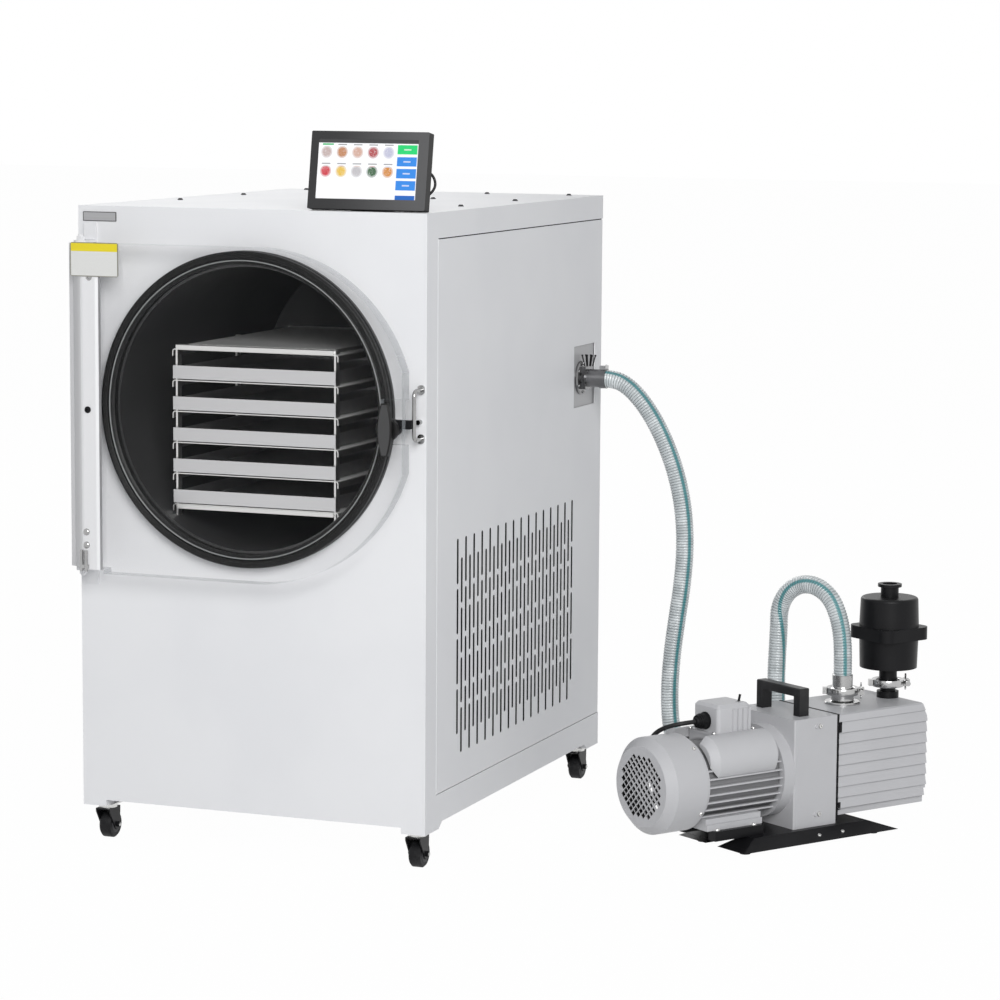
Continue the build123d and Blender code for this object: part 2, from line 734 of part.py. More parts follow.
# ----------------------------------------------------------------------- touch panel
lean = radians(TABLET_LEAN)
tablet = Plane(
    origin=(TABLET_X, TABLET_Y, TOP + TABLET_T * sin(lean)),
    x_dir=(1, 0, 0),
    z_dir=(0, -cos(lean), sin(lean)),
)
BEZEL_LEFT = 13.0
BEZEL_RIGHT = 17.0
BEZEL_LOW = 16.0
BEZEL_HIGH = 12.5
SCREEN_W = TABLET_W - BEZEL_LEFT - BEZEL_RIGHT
SCREEN_H = TABLET_H - BEZEL_LOW - BEZEL_HIGH
screen_centre = ((BEZEL_LEFT - BEZEL_RIGHT) / 2, BEZEL_LOW + SCREEN_H / 2)

with BuildPart() as tablet_housing:
    with BuildSketch(tablet.offset(-TABLET_T)):
        with Locations((0, TABLET_H / 2)):
            RectangleRounded(TABLET_W, TABLET_H, 2)
    extrude(amount=TABLET_T)
    chamfer(faces().sort_by(Axis(tablet.origin, tablet.z_dir))[0].edges(), 1.5)
    with BuildSketch(tablet):
        with Locations(screen_centre):
            Rectangle(SCREEN_W, SCREEN_H)
    extrude(amount=-1.2, mode=Mode.SUBTRACT)
save(tablet_housing, "tablet_housing")

with BuildPart() as tablet_screen:
    with BuildSketch(tablet.offset(-1.2)):
        with Locations(screen_centre):
            Rectangle(SCREEN_W, SCREEN_H)
    extrude(amount=0.8)
save(tablet_screen, "tablet_screen")

# a bent bracket screwed to the lid, leaning like the panel
STAND_W = 70.0
STAND_T = 3.0
stand_top = tablet.from_local_coords((0, 70, -TABLET_T))
stand_foot = tablet.from_local_coords((0, 6, -TABLET_T))
with BuildPart() as tablet_stand:
    with BuildSketch(side_plane(TABLET_X - STAND_W / 2)):
        with BuildLine():
            Polyline(
                (stand_top.Y, stand_top.Z),
                (stand_top.Y + STAND_T, stand_top.Z),
                (stand_foot.Y + 2 * STAND_T, TOP + STAND_T + 2),
                (stand_foot.Y + 48, TOP + STAND_T),
                (stand_foot.Y + 48, TOP),
                (stand_foot.Y + 1, TOP),
                (stand_foot.Y, stand_foot.Z),
                close=True,
            )
        make_face()
    extrude(amount=STAND_W)
save(tablet_stand, "tablet_stand")

# its short lead, out of the back near the right edge and down to a grommet in the lid
CABLE_R = 2.2
outlet = tablet.from_local_coords((TABLET_W / 2 - 12, 74, -TABLET_T))
exit_way = -tablet.z_dir * 20
GROMMET = (outlet.X + 3, outlet.Y + 34)
with BuildPart() as tablet_cable:
    with BuildLine():
        lead = FilletPolyline(
            (outlet.X, outlet.Y, outlet.Z),
            (outlet.X + exit_way.X, outlet.Y + exit_way.Y, outlet.Z + exit_way.Z),
            (outlet.X + 9, outlet.Y + 29, outlet.Z - 17),
            (outlet.X + 10, outlet.Y + 33, outlet.Z - 38),
            (*GROMMET, TOP + 16),
            (*GROMMET, TOP),
            radius=[9, 14, 20, 16],
        )
    with BuildSketch(Plane(origin=lead @ 0, z_dir=lead % 0)):
        Circle(CABLE_R)
    sweep()
    with BuildSketch(Plane.XY.offset(TOP)):
        with Locations(GROMMET):
            Circle(7)
            Circle(CABLE_R, mode=Mode.SUBTRACT)
    extrude(amount=4)
save(tablet_cable, "tablet_cable")

# ------------------------------------------------------------------------- vacuum port
PORT_FACE = RIGHT - PORT_SINK
with BuildPart() as port_plate:
    with BuildSketch(side_plane(PORT_FACE - 2)):
        with Locations(port_window):
            Rectangle(PORT_PLATE + 16, PORT_PLATE + 16)
        with Locations((PORT_Y, PORT_Z + 2)):
            Circle(14, mode=Mode.SUBTRACT)
    extrude(amount=2)
save(port_plate, "port_plate")

HOSE_START = LEFT + 636.0
with BuildPart() as port_adapter:
    # thin round flange with a hexagon, then the barbed spigot inside the hose
    with BuildSketch(side_plane(PORT_FACE)):
        with Locations((PORT_Y, PORT_Z + 2)):
            Circle(29)
    extrude(amount=5)
    chamfer(edges().group_by(Axis.X)[-1], 2)
    with BuildSketch(side_plane(PORT_FACE + 5)):
        with Locations((PORT_Y, PORT_Z + 2)):
            RegularPolygon(22, 6)
    extrude(amount=9)
    with BuildSketch(side_plane(PORT_FACE + 14)):
        with Locations((PORT_Y, PORT_Z + 2)):
            Circle(15.5)
    extrude(amount=HOSE_START - PORT_FACE - 14)
    with BuildSketch(side_plane(PORT_FACE - 5)):
        with Locations((PORT_Y, PORT_Z + 2)):
            Circle(14)
    extrude(amount=5)
save(port_adapter, "port_adapter")

# ------------------------------------------------------------------------------ castors
CASTOR_IN = 27.0
WHEEL_R = 22.0
WHEEL_W = 20.0
TRAIL = 8.0
AXLE_R = 3.0
KING_R = 5.0
PLATE_T = 2.5
RACE_H = 5.5
castor_places = [
    (LEFT + CASTOR_IN, FRONT + 33.0),
    (RIGHT - CASTOR_IN, FRONT + 33.0),
    (LEFT + CASTOR_IN, BACK - 38.0),
    (RIGHT - CASTOR_IN, BACK - 38.0),
]

with BuildPart() as castor_plates:
    for x, y in castor_places:
        with BuildSketch(Plane.XY.offset(CASTOR_HEIGHT - PLATE_T - RACE_H)):
            with Locations((x, y)):
                RegularPolygon(15, 20)
                Circle(KING_R + RUN_FIT, mode=Mode.SUBTRACT)
        extrude(amount=RACE_H)
        with BuildSketch(Plane.XY.offset(CASTOR_HEIGHT - PLATE_T)):
            with Locations((x, y)):
                RectangleRounded(36, 44, 4)
        extrude(amount=PLATE_T)
save(castor_plates, "castor_plates")

CROWN_TOP = CASTOR_HEIGHT - PLATE_T - RACE_H - 0.3
for index, (x, y) in enumerate(castor_places, start=1):
    wheel_y = y + TRAIL
    cheek = WHEEL_W / 2 + 1
    with BuildPart() as fork:
        # two tapered cheeks under a crown, on a king pin, with the axle across them
        for side in (-1, 1):
            inner = x + side * cheek
            with BuildSketch(side_plane(inner)):
                with BuildLine():
                    Polyline(
                        (y - 18, CROWN_TOP),
                        (y + 18, CROWN_TOP),
                        (y + 18, CROWN_TOP - 5),
                        (wheel_y + 8, WHEEL_R - 4),
                        (wheel_y + 3, WHEEL_R - 8),
                        (wheel_y - 3, WHEEL_R - 8),
                        (wheel_y - 8, WHEEL_R - 4),
                        (y - 18, CROWN_TOP - 5),
                        close=True,
                    )
                make_face()
            extrude(amount=side * 2)
        block((x - cheek, y - 18, CROWN_TOP - 2), (x + cheek, y + 18, CROWN_TOP))
        with BuildSketch(Plane.XY.offset(CROWN_TOP)):
            with Locations((x, y)):
                Circle(KING_R)
        extrude(amount=RACE_H)
        with BuildSketch(side_plane(x - cheek - 2)):
            with Locations((wheel_y, WHEEL_R)):
                Circle(AXLE_R)
        extrude(amount=2 * cheek + 4)
        for side in (-1, 1):
            with BuildSketch(side_plane(x + side * (cheek + 2))):
                with Locations((wheel_y, WHEEL_R)):
                    RegularPolygon(4.6, 6)
            extrude(amount=side * 4)
    save(fork, f"castor_fork_{index}")
    with BuildPart() as wheel:
        with BuildSketch(side_plane(x - WHEEL_W / 2)):
            with Locations((wheel_y, WHEEL_R)):
                Circle(WHEEL_R)
        extrude(amount=WHEEL_W)
        chamfer(edges().filter_by(GeomType.CIRCLE), 2.5)
        with BuildSketch(side_plane(x - WHEEL_W / 2)):
            with Locations((wheel_y, WHEEL_R)):
                Circle(AXLE_R + RUN_FIT)
        extrude(amount=WHEEL_W, mode=Mode.SUBTRACT)
    save(wheel, f"castor_wheel_{index}")

# --------------------------------------------------------------------------- pump base
BASE_TOP = 22.0
RAIL_FOOT = 6.0
RAIL_WALL = 2.5
RAIL_ENDS = (-180.0, 150.0)
RAIL_RUN = (-138.0, 104.0)
BEARER_TOP = 38.0
FOOT_SPOTS = ((-158, -88), (114, -88), (-158, 20), (114, 20))
FOOT_TOP = 8.0
PAD_IN = 14.0
# each rail's edges across the shaft: foot of one side, top, top, foot of the other side
near_rail = (-112.0, -86.0, -58.0, -44.0)
far_rail = (-14.0, 6.0, 32.0, 56.0)

with BuildPart() as pump_base:
    # two pressed channels, open below, whose sides and ends slope out and down
    for foot_near, top_near, top_far, foot_far in (near_rail, far_rail):
        for wall, mode in ((0, Mode.ADD), (RAIL_WALL, Mode.SUBTRACT)):
            for z, ends, edges_across in (
                (RAIL_FOOT, RAIL_ENDS, (foot_near, foot_far)),
                (BASE_TOP - wall, RAIL_RUN, (top_near, top_far)),
            ):
                centre, size = corners((ends[0], edges_across[0]), (ends[1], edges_across[1]))
                with BuildSketch(pump.offset(z)):
                    with Locations(centre):
                        Rectangle(size[0] - 2 * wall, size[1] - 2 * wall)
            loft(mode=mode)
    # the deck under the pump block, with an edge folded down at each end
    centre, size = corners((-104, near_rail[1] + 4), (RAIL_RUN[1], far_rail[2] - 4))
    with BuildSketch(pump.offset(BASE_TOP - RAIL_WALL)):
        with Locations(centre):
            Rectangle(*size)
    extrude(amount=RAIL_WALL)
    centre, size = corners((-104, near_rail[2]), (-101, far_rail[1]))
    with BuildSketch(pump.offset(BASE_TOP - 12)):
        with Locations(centre):
            Rectangle(*size)
    extrude(amount=12)
    # two bearers under the motor's feet
    for across_shaft in (-62, 18):
        centre, size = corners((-206, across_shaft - 9), (-106, across_shaft + 9))
        with BuildSketch(pump.offset(BASE_TOP)):
            with Locations(centre):
                Rectangle(*size)
        extrude(amount=BEARER_TOP - BASE_TOP)
    # pads inside the channels that the rubber feet bolt to
    for x, y in FOOT_SPOTS:
        foot_near, foot_far = (near_rail if y < 0 else far_rail)[::3]
        with BuildSketch(pump.offset(FOOT_TOP)):
            with Locations((x, (foot_near + foot_far) / 2)):
                Rectangle(24, foot_far - foot_near - PAD_IN)
        extrude(amount=2)
save(pump_base, "pump_base")

with BuildPart() as pump_feet:
    for x, y in FOOT_SPOTS:
        with BuildSketch(pump):
            with Locations((x, y)):
                Circle(8.5)
        with BuildSketch(pump.offset(FOOT_TOP)):
            with Locations((x, y)):
                Circle(11)
        loft()
save(pump_feet, "pump_feet")

# --------------------------------------------------------------------------- pump motor
FLANGE_START = -68.0
FIN_COUNT = 7
SHAFT_R = 8.0
CAP_R = 40.0
CAP_Y = 38.0
CAP_Z = 149.0
CAP_START = -214.0
CAP_END = -72.0

with BuildPart() as motor_body:
    # finned barrel between two end rings, on cast feet
    with BuildSketch(across(MOTOR_START + 2)):
        Circle(62)
        for side in (-1, 1):
            for fin in range(FIN_COUNT):
                height = -52 + fin * 13.0
                reach = sqrt(MOTOR_R**2 - (abs(height) + 1.3) ** 2)
                with Locations((side * reach / 2, height)):
                    Rectangle(reach, 2.6)
    extrude(amount=FLANGE_START - MOTOR_START - 2)
    with BuildSketch(across(FLANGE_START)):
        Circle(77)
    extrude(amount=-HOUSING_HALF - FLANGE_START)
    with BuildSketch(across(MOTOR_START + 2)):
        Circle(MOTOR_R)
    extrude(amount=8)
    # the cast foot along its underside
    with BuildSketch(pump.offset(BEARER_TOP)):
        with Locations((-159, 0)):
            Rectangle(114, 124)
    extrude(amount=10)
    with BuildSketch(pump.offset(BEARER_TOP + 10)):
        with Locations((-159, 0)):
            Rectangle(114, 116)
    extrude(amount=9)
    # seat for the terminal box on top
    with BuildSketch(pump.offset(AXIS_Z + 50)):
        with Locations((-136, 0)):
            Rectangle(84, 70)
    extrude(amount=23)
    # bearing bore for the shaft
    with BuildSketch(across(MOTOR_START + 2)):
        Circle(SHAFT_R + RUN_FIT)
    extrude(amount=40, mode=Mode.SUBTRACT)
save(motor_body, "motor_body")

COVER_T = 2.5
BEVEL = 14.0
MESH_R = 52.0
MESH_HOLE = 7.5
MESH_STEP = 13.0

with BuildPart() as fan_cover:
    with BuildSketch(across(FAN_COVER_START)):
        Circle(FAN_COVER_R)
    extrude(amount=MOTOR_START - FAN_COVER_START)
    nose = Axis(pump.from_local_coords((0, 0, AXIS_Z)), pump.x_dir)
    chamfer(edges().filter_by(GeomType.CIRCLE).sort_by(nose)[0], BEVEL)
    offset(amount=-COVER_T, openings=faces().sort_by(nose)[-1])
    # diamond grille, every second row half a step over, and a hole in the middle
    with BuildSketch(across(FAN_COVER_START)):
        rows = int(2 * MESH_R / MESH_STEP) + 1
        for row in range(-rows, rows + 1):
            for column in range(-rows, rows + 1):
                u = (column + (row % 2) / 2) * MESH_STEP
                v = row * MESH_STEP / 2
                if MESH_STEP * 0.6 < sqrt(u * u + v * v) < MESH_R:
                    with Locations((u, v)):
                        Rectangle(MESH_HOLE, MESH_HOLE, rotation=45)
        Circle(4.5)
    extrude(amount=COVER_T, mode=Mode.SUBTRACT)
save(fan_cover, "fan_cover")

FAN_BLADES = 8
with BuildPart() as motor_fan:
    with BuildSketch(across(MOTOR_START - 34)):
        Circle(20)
    extrude(amount=22)
    with BuildSketch(across(MOTOR_START - 12)):
        Circle(SHAFT_R)
    extrude(amount=50)
    for blade in range(FAN_BLADES):
        turn = radians(blade * 360 / FAN_BLADES)
        paddle = Plane(
            origin=pump.from_local_coords((MOTOR_START - 32, 0, AXIS_Z)),
            x_dir=pump.y_dir * cos(turn) + Vector(0, 0, 1) * sin(turn),
            z_dir=pump.x_dir,
        )
        with BuildSketch(paddle):
            with Locations((41, 0)):
                Rectangle(48, 2.4)
        extrude(amount=18)
save(motor_fan, "motor_fan")

# two capacitor covers that straddle the barrel's shoulders
CAP_BEVEL = 12.0
with BuildPart() as capacitor_covers:
    for side in (-1, 1):
        with BuildSketch(across(CAP_START + CAP_BEVEL, CAP_Z)):
            with Locations((side * CAP_Y, 0)):
                Circle(CAP_R)
        extrude(amount=CAP_END - CAP_START - 2 * CAP_BEVEL)
        for end, inner in ((CAP_START, CAP_START + CAP_BEVEL), (CAP_END, CAP_END - CAP_BEVEL)):
            with BuildSketch(across(end, CAP_Z)):
                with Locations((side * CAP_Y, 0)):
                    Circle(CAP_R - CAP_BEVEL)
            with BuildSketch(across(inner, CAP_Z)):
                with Locations((side * CAP_Y, 0)):
                    Circle(CAP_R)
            loft()
    with BuildSketch(across(CAP_START)):
        Circle(MOTOR_R + 0.3)
        with Locations((0, 60)):
            Rectangle(74, 120)
        for side in (-1, 1):
            with Locations((side * 60, -60)):
                Rectangle(80, 150)
    extrude(amount=CAP_END - CAP_START, mode=Mode.SUBTRACT)
save(capacitor_covers, "capacitor_covers")

BOX_START = -172.0
BOX_END = -104.0
BOX_LOW = AXIS_Z + 73.0
BOX_TOP = 233.0
LEVER_AT = (-116.0, -14.0)
LEVER_R = 2.0
LEVER_LEAN = 14.0

with BuildPart() as terminal_box:
    with BuildSketch(pump.offset(BOX_LOW)):
        with Locations(((BOX_START + BOX_END) / 2, 0)):
            Rectangle(BOX_END - BOX_START + 14, 72)
    extrude(amount=4)
    with BuildSketch(pump.offset(BOX_LOW + 4)):
        with Locations(((BOX_START + BOX_END) / 2, 0)):
            RectangleRounded(BOX_END - BOX_START, 64, 7)
    extrude(amount=BOX_TOP - BOX_LOW - 4)
    chamfer(faces().sort_by(Axis.Z)[-1].edges(), 5)
    # upright ribs on both long sides
    for rib in range(4):
        with BuildSketch(pump.offset(BOX_LOW + 4)):
            with Locations((BOX_END - 5 - rib * 10.5, 0)):
                Rectangle(5, 70)
        extrude(amount=BOX_TOP - BOX_LOW - 12)
    # slot for the toggle
    with BuildSketch(pump.offset(BOX_TOP)):
        with Locations(LEVER_AT):
            Rectangle(16, 2 * LEVER_R + 1.2)
    extrude(amount=-8, mode=Mode.SUBTRACT)
save(terminal_box, "terminal_box")

lever_pivot = pump.from_local_coords((LEVER_AT[0], LEVER_AT[1], BOX_TOP - 3.5))
with BuildPart() as toggle_lever:
    lean = pump.x_dir * sin(radians(LEVER_LEAN)) + Vector(0, 0, cos(radians(LEVER_LEAN)))
    stick = Plane(origin=lever_pivot, z_dir=lean)
    with BuildSketch(stick.offset(-2)):
        RegularPolygon(LEVER_R, 10)
    extrude(amount=17)
save(toggle_lever, "toggle_lever")

GLAND_Z = 205.0
GLAND_R = 13.0
GLAND_REACH = 22.0
CORD_R = 3.75
with BuildPart() as cord_gland:
    with BuildSketch(across(BOX_START, GLAND_Z)):
        RegularPolygon(GLAND_R, 12)
    extrude(amount=-10)
    with BuildSketch(across(BOX_START - 10, GLAND_Z)):
        Circle(GLAND_R - 1)
    with BuildSketch(across(BOX_START - GLAND_REACH, GLAND_Z)):
        Circle(CORD_R + 2.5)
    loft()
save(cord_gland, "cord_gland")

# ------------------------------------------------------------------- pump block and oil case
with BuildPart() as pump_housing:
    with BuildSketch(pump.offset(HOUSING_LOW)):
        Rectangle(2 * HOUSING_HALF, 2 * HOUSING_SIDE)
    extrude(amount=HOUSING_TOP - HOUSING_LOW)
    chamfer(edges().filter_by(Axis.Z), 2)
    for side in (-1, 1):
        for z in (42, 188):
            face = Plane(
                origin=pump.from_local_coords((0, side * HOUSING_SIDE, z)), z_dir=pump.y_dir * side
            )
            with BuildSketch(face):
                RegularPolygon(4, 12)
            extrude(amount=2, taper=30)
save(pump_housing, "pump_housing")

RIBS = 8
RIB_PITCH = 18.0
RIB_DEPTH = 3.5
RIB_LOW = 46.0

with BuildPart() as oil_case:
    # saw-tooth ribs along both sides, drawn across the shaft
    with BuildSketch(across(OIL_START, 0)):
        with BuildLine():
            side_line = [(-HOUSING_SIDE + 4, OIL_LOW), (-HOUSING_SIDE + 4, RIB_LOW)]
            for rib in range(RIBS):
                z = RIB_LOW + rib * RIB_PITCH
                side_line.append((-HOUSING_SIDE - 1, z))
                side_line.append((-HOUSING_SIDE - 1 + RIB_DEPTH, z + RIB_PITCH))
            side_line.append((-HOUSING_SIDE, RIB_LOW + RIBS * RIB_PITCH))
            side_line.append((-HOUSING_SIDE + 1, HOUSING_TOP - 2))
            side_line.append((-HOUSING_SIDE + 5, HOUSING_TOP))
            mirrored = [(-u, v) for u, v in reversed(side_line)]
            Polyline(*side_line, *mirrored, close=True)
        make_face()
    extrude(amount=OIL_END - OIL_START)
    # the end wall leans in towards the top and steps in below
    end_cut = Plane(
        origin=pump.from_local_coords((OIL_END, 0, 0)), x_dir=pump.x_dir, z_dir=-pump.y_dir
    )
    with BuildSketch(end_cut):
        with BuildLine():
            Polyline((-9, HOUSING_TOP), (1, HOUSING_TOP), (1, 182), (0, 182), close=True)
        make_face()
        with BuildLine():
            Polyline((-4, 0), (1, 0), (1, 58), (-4, 58), close=True)
        make_face()
    extrude(amount=100, both=True, mode=Mode.SUBTRACT)
    # joint strip against the pump block
    with BuildSketch(across(HOUSING_HALF, 0)):
        with Locations((0, (OIL_LOW + HOUSING_TOP) / 2 - 2)):
            Rectangle(2 * HOUSING_SIDE - 6, HOUSING_TOP - OIL_LOW - 8)
    extrude(amount=OIL_START - HOUSING_HALF)
save(oil_case, "oil_case")

HANDLE_AT = -10.0
HANDLE_SPREAD = 94.0
HANDLE_TOP = 249.0
POST = (20.0, 15.0)
BAR_T = 14.0
with BuildPart() as carry_handle:
    for side in (-1, 1):
        with BuildSketch(pump.offset(HOUSING_TOP)):
            with Locations((HANDLE_AT, side * HANDLE_SPREAD / 2)):
                Rectangle(*POST)
        extrude(amount=HANDLE_TOP - HOUSING_TOP)
    with BuildSketch(pump.offset(HANDLE_TOP - BAR_T)):
        with Locations((HANDLE_AT, 0)):
            Rectangle(POST[0], HANDLE_SPREAD + POST[1])
    extrude(amount=BAR_T)
    chamfer(edges().filter_by(Axis(pump.origin, pump.y_dir)).group_by(Axis.Z)[-1], 1.5)
save(carry_handle, "carry_handle")

# ------------------------------------------------------------------------ pump fittings
SEAL_Z = 224.0
HOSE_FOOT = 234.0
INLET_BORE = 12.0


def turned(along, steps, bore=0.0):
    """A turned piece on the pump's centre line, from (radius, low z, high z) steps."""
    for radius, low, high in steps:
        with BuildSketch(pump.offset(low)) as ring:
            with Locations((along, 0)):
                Circle(radius)
                if bore:
                    Circle(bore, mode=Mode.SUBTRACT)
        extrude(ring.sketch, amount=high - low)


FILTER_LOW = 255.0
BELT_LOW = 304.0
BELT_HIGH = 325.0
FILTER_HIGH = 374.0
NECK_TOP = 391.0
FILTER_TOP = 396.0
BELT_SIDE = 101.0
EXHAUST_SEAL = 228.0
with BuildPart() as mist_filter:
    # exhaust stub and lower flange
    turned(
        EXHAUST_AT,
        (
            (18.5, HOUSING_TOP, HOUSING_TOP + 11),
            (13, HOUSING_TOP + 11, EXHAUST_SEAL - 4),
            (20, EXHAUST_SEAL - 4, EXHAUST_SEAL + 4),
            (15, EXHAUST_SEAL + 4, FILTER_LOW),
        ),
    )
    # lower and upper canisters, both drawn in towards the square belt's far ends
    for first, second in (
        ((48, FILTER_LOW), (49.5, BELT_LOW)), ((50, BELT_HIGH), (48, FILTER_HIGH))
    ):
        for radius, z in (first, second):
            with BuildSketch(pump.offset(z)):
                with Locations((EXHAUST_AT, 0)):
                    Circle(radius)
        loft()
    for z in (FILTER_LOW, FILTER_HIGH):
        rims = edges().filter_by(GeomType.CIRCLE).filter_by_position(Axis.Z, z - 1, z + 1)
        fillet(rims[-1], 5)
    with BuildSketch(pump.offset(BELT_LOW)):
        with Locations((EXHAUST_AT, 0)):
            RectangleRounded(BELT_SIDE, BELT_SIDE, 18)
    extrude(amount=BELT_HIGH - BELT_LOW)
    turned(EXHAUST_AT, ((15, FILTER_HIGH, NECK_TOP), (20, NECK_TOP, FILTER_TOP)))
    # the outlet's bore
    with BuildSketch(pump.offset(FILTER_TOP)):
        with Locations((EXHAUST_AT, 0)):
            Circle(12.5)
    extrude(amount=-(FILTER_TOP - FILTER_HIGH) - 8, mode=Mode.SUBTRACT)
save(mist_filter, "mist_filter")


def wing_nut(along, aside, z):
    """The clamp's bolt, with its wing nut, standing off one side."""
    with BuildSketch(pump.offset(z - 3)) as bolt:
        with Locations((along, aside)):
            Rectangle(30, 6)
    extrude(bolt.sketch, amount=6)
    for wing in (-1, 1):
        with BuildSketch(pump.offset(z - 3 + wing * 4)) as tab:
            with Locations((along + 14, aside)):
                Rectangle(8, 4)
        extrude(tab.sketch, amount=6)


# the inlet stub, two flange clamps and the worm-drive band on the hose
with BuildPart() as pipe_fittings:
    turned(
        INLET_AT,
        (
            (30, HOUSING_TOP, HOUSING_TOP + 4),
            (21, HOUSING_TOP + 4, SEAL_Z - 4),
            (20, SEAL_Z - 4, SEAL_Z + 4),
            (HOSE_R, SEAL_Z + 4, HOSE_FOOT),
        ),
        bore=INLET_BORE,
    )
    for along, z in ((INLET_AT, SEAL_Z), (EXHAUST_AT, EXHAUST_SEAL)):
        with BuildSketch(pump.offset(z - 6)):
            with Locations((along, 0)):
                Circle(27)
                Circle(21.2, mode=Mode.SUBTRACT)
        extrude(amount=12)
        wing_nut(along + 24, -24, z)
    with BuildSketch(side_plane(HOSE_START - 16)):
        with Locations((PORT_Y, PORT_Z + 2)):
            Circle(HOSE_R + 2.5)
            Circle(HOSE_R, mode=Mode.SUBTRACT)
    extrude(amount=12)
    band_top = PORT_Z + 2 + HOSE_R + 2
    block(
        (HOSE_START - 18, PORT_Y - 12, band_top), (HOSE_START - 2, PORT_Y + 12, band_top + 11)
    )
save(pipe_fittings, "pipe_fittings")

# --------------------------------------------------------------------------------- cords


def ease(points):
    """The radius of each corner: 0.45 of the shorter run over the tangent of half the turn."""
    radii = []
    for before, here, after in zip(points, points[1:], points[2:]):
        run_in = Vector(*here) - Vector(*before)
        run_out = Vector(*after) - Vector(*here)
        half = radians(run_in.get_angle(run_out)) / 2
        radii.append(0.45 * min(run_in.length, run_out.length) / tan(half))
    return radii


def cord(points, radius, name):
    """A round cord along straight runs joined by tangent arcs."""
    radii = ease(points)
    with BuildPart() as piece:
        with BuildLine():
            route = FilletPolyline(*points, radius=radii)
        with BuildSketch(Plane(origin=route @ 0, z_dir=route % 0)):
            Circle(radius)
        sweep()
    length = route.length
    section = pi * radius**2
    print(f"{name}: length {length:.0f}, least radius {min(radii):.0f} of {[round(r) for r in radii]}")
    print(f"{name}: volume {piece.part.volume / (section * length):.4f} of section x length")
    return piece


def at_pump(along, aside, z):
    point = pump.from_local_coords((along, aside, z))
    return (point.X, point.Y, point.Z)


# ribbed hose: out of the port, down behind the pump, and over in an arch to the inlet
inlet = pump.from_local_coords((INLET_AT, 0, 0))
ARCH_FOOT = (LEFT + 973.0, FRONT + 656.0)
span = Vector(inlet.X - ARCH_FOOT[0], inlet.Y - ARCH_FOOT[1])
ARCH_R = 64.0
ARCH_Z = 333.0
ARCH_MIDDLE = span.length - 11.0 - ARCH_R * sin(radians(75))


def arch(along, z):
    """A point over the line from the arch's free foot to the inlet, in mm along it."""
    share = along / span.length
    return (ARCH_FOOT[0] + share * span.X, ARCH_FOOT[1] + share * span.Y, z)


def crown(degrees):
    """A point on the arch's round top, by its angle from straight up."""
    turn = radians(degrees)
    return arch(ARCH_MIDDLE + ARCH_R * sin(turn), ARCH_Z + ARCH_R * cos(turn))


hose_route = [
    (HOSE_START, PORT_Y, PORT_Z + 2),
    (LEFT + 660, PORT_Y, PORT_Z + 2),
    (LEFT + 684, FRONT + 700, BASE + 639),
    (LEFT + 708, FRONT + 699, BASE + 617),
    (LEFT + 732, FRONT + 698, BASE + 585),
    (LEFT + 755, FRONT + 696, BASE + 544),
    (LEFT + 776, FRONT + 692, BASE + 494),
    (LEFT + 791, FRONT + 687, BASE + 438),
    (LEFT + 798, FRONT + 681, BASE + 374),
    (LEFT + 796, FRONT + 674, BASE + 308),
    (LEFT + 789, FRONT + 666, BASE + 244),
    (LEFT + 783, FRONT + 659, BASE + 180),
    (LEFT + 781, FRONT + 655, BASE + 120),
    (LEFT + 784, FRONT + 654, BASE + 66),
    (LEFT + 796, FRONT + 655, BASE + 18),
    (LEFT + 820, FRONT + 657, 44),
    (LEFT + 856, FRONT + 661, 19),
    (LEFT + 900, FRONT + 666, 18),
    (LEFT + 938, FRONT + 667, 38),
    (LEFT + 962, FRONT + 663, 76),
    (LEFT + 972, FRONT + 659, 124),
    arch(-1, 176),
    arch(-3, 228),
    arch(-1, 276),
    arch(1, 316),
    crown(-75),
    crown(-45),
    crown(-15),
    crown(15),
    crown(45),
    crown(75),
    arch(span.length - 2, 314),
    (inlet.X, inlet.Y, HOSE_FOOT + 38),
    (inlet.X, inlet.Y, HOSE_FOOT),
]
vacuum_hose = cord(hose_route, HOSE_R, "vacuum_hose")
save(vacuum_hose, "vacuum_hose")

# mains lead: over the fan cover and down behind the motor to its coil on the floor
COIL_AT = (-10.0, 140.0)
COIL_MEAN = 42.5
COIL_THICK = 22.5
COIL_HIGH = 15.0
cord_route = [
    at_pump(BOX_START - GLAND_REACH, 0, GLAND_Z),
    at_pump(BOX_START - GLAND_REACH - 20, 0, GLAND_Z),
    at_pump(-230, 13, 201),
    at_pump(-238, 36, 191),
    at_pump(-236, 62, 173),
    at_pump(-224, 86, 142),
    at_pump(-206, 99, 102),
    at_pump(-183, 105, 62),
    at_pump(-153, 106, 28),
    at_pump(-120, 101, 8),
    at_pump(-84, 95, CORD_R + 0.3),
    at_pump(-46, 91, CORD_R + 0.3),
    at_pump(COIL_AT[0], COIL_AT[1] - COIL_MEAN - 7, CORD_R + 0.3),
]
power_cord = cord(cord_route, CORD_R, "power_cord")
save(power_cord, "power_cord")

with BuildPart() as power_cord_coil:
    with BuildSketch(pump):
        with Locations(COIL_AT):
            Circle(COIL_MEAN + COIL_THICK / 2)
            Circle(COIL_MEAN - COIL_THICK / 2, mode=Mode.SUBTRACT)
    extrude(amount=COIL_HIGH)
save(power_cord_coil, "power_cord_coil")

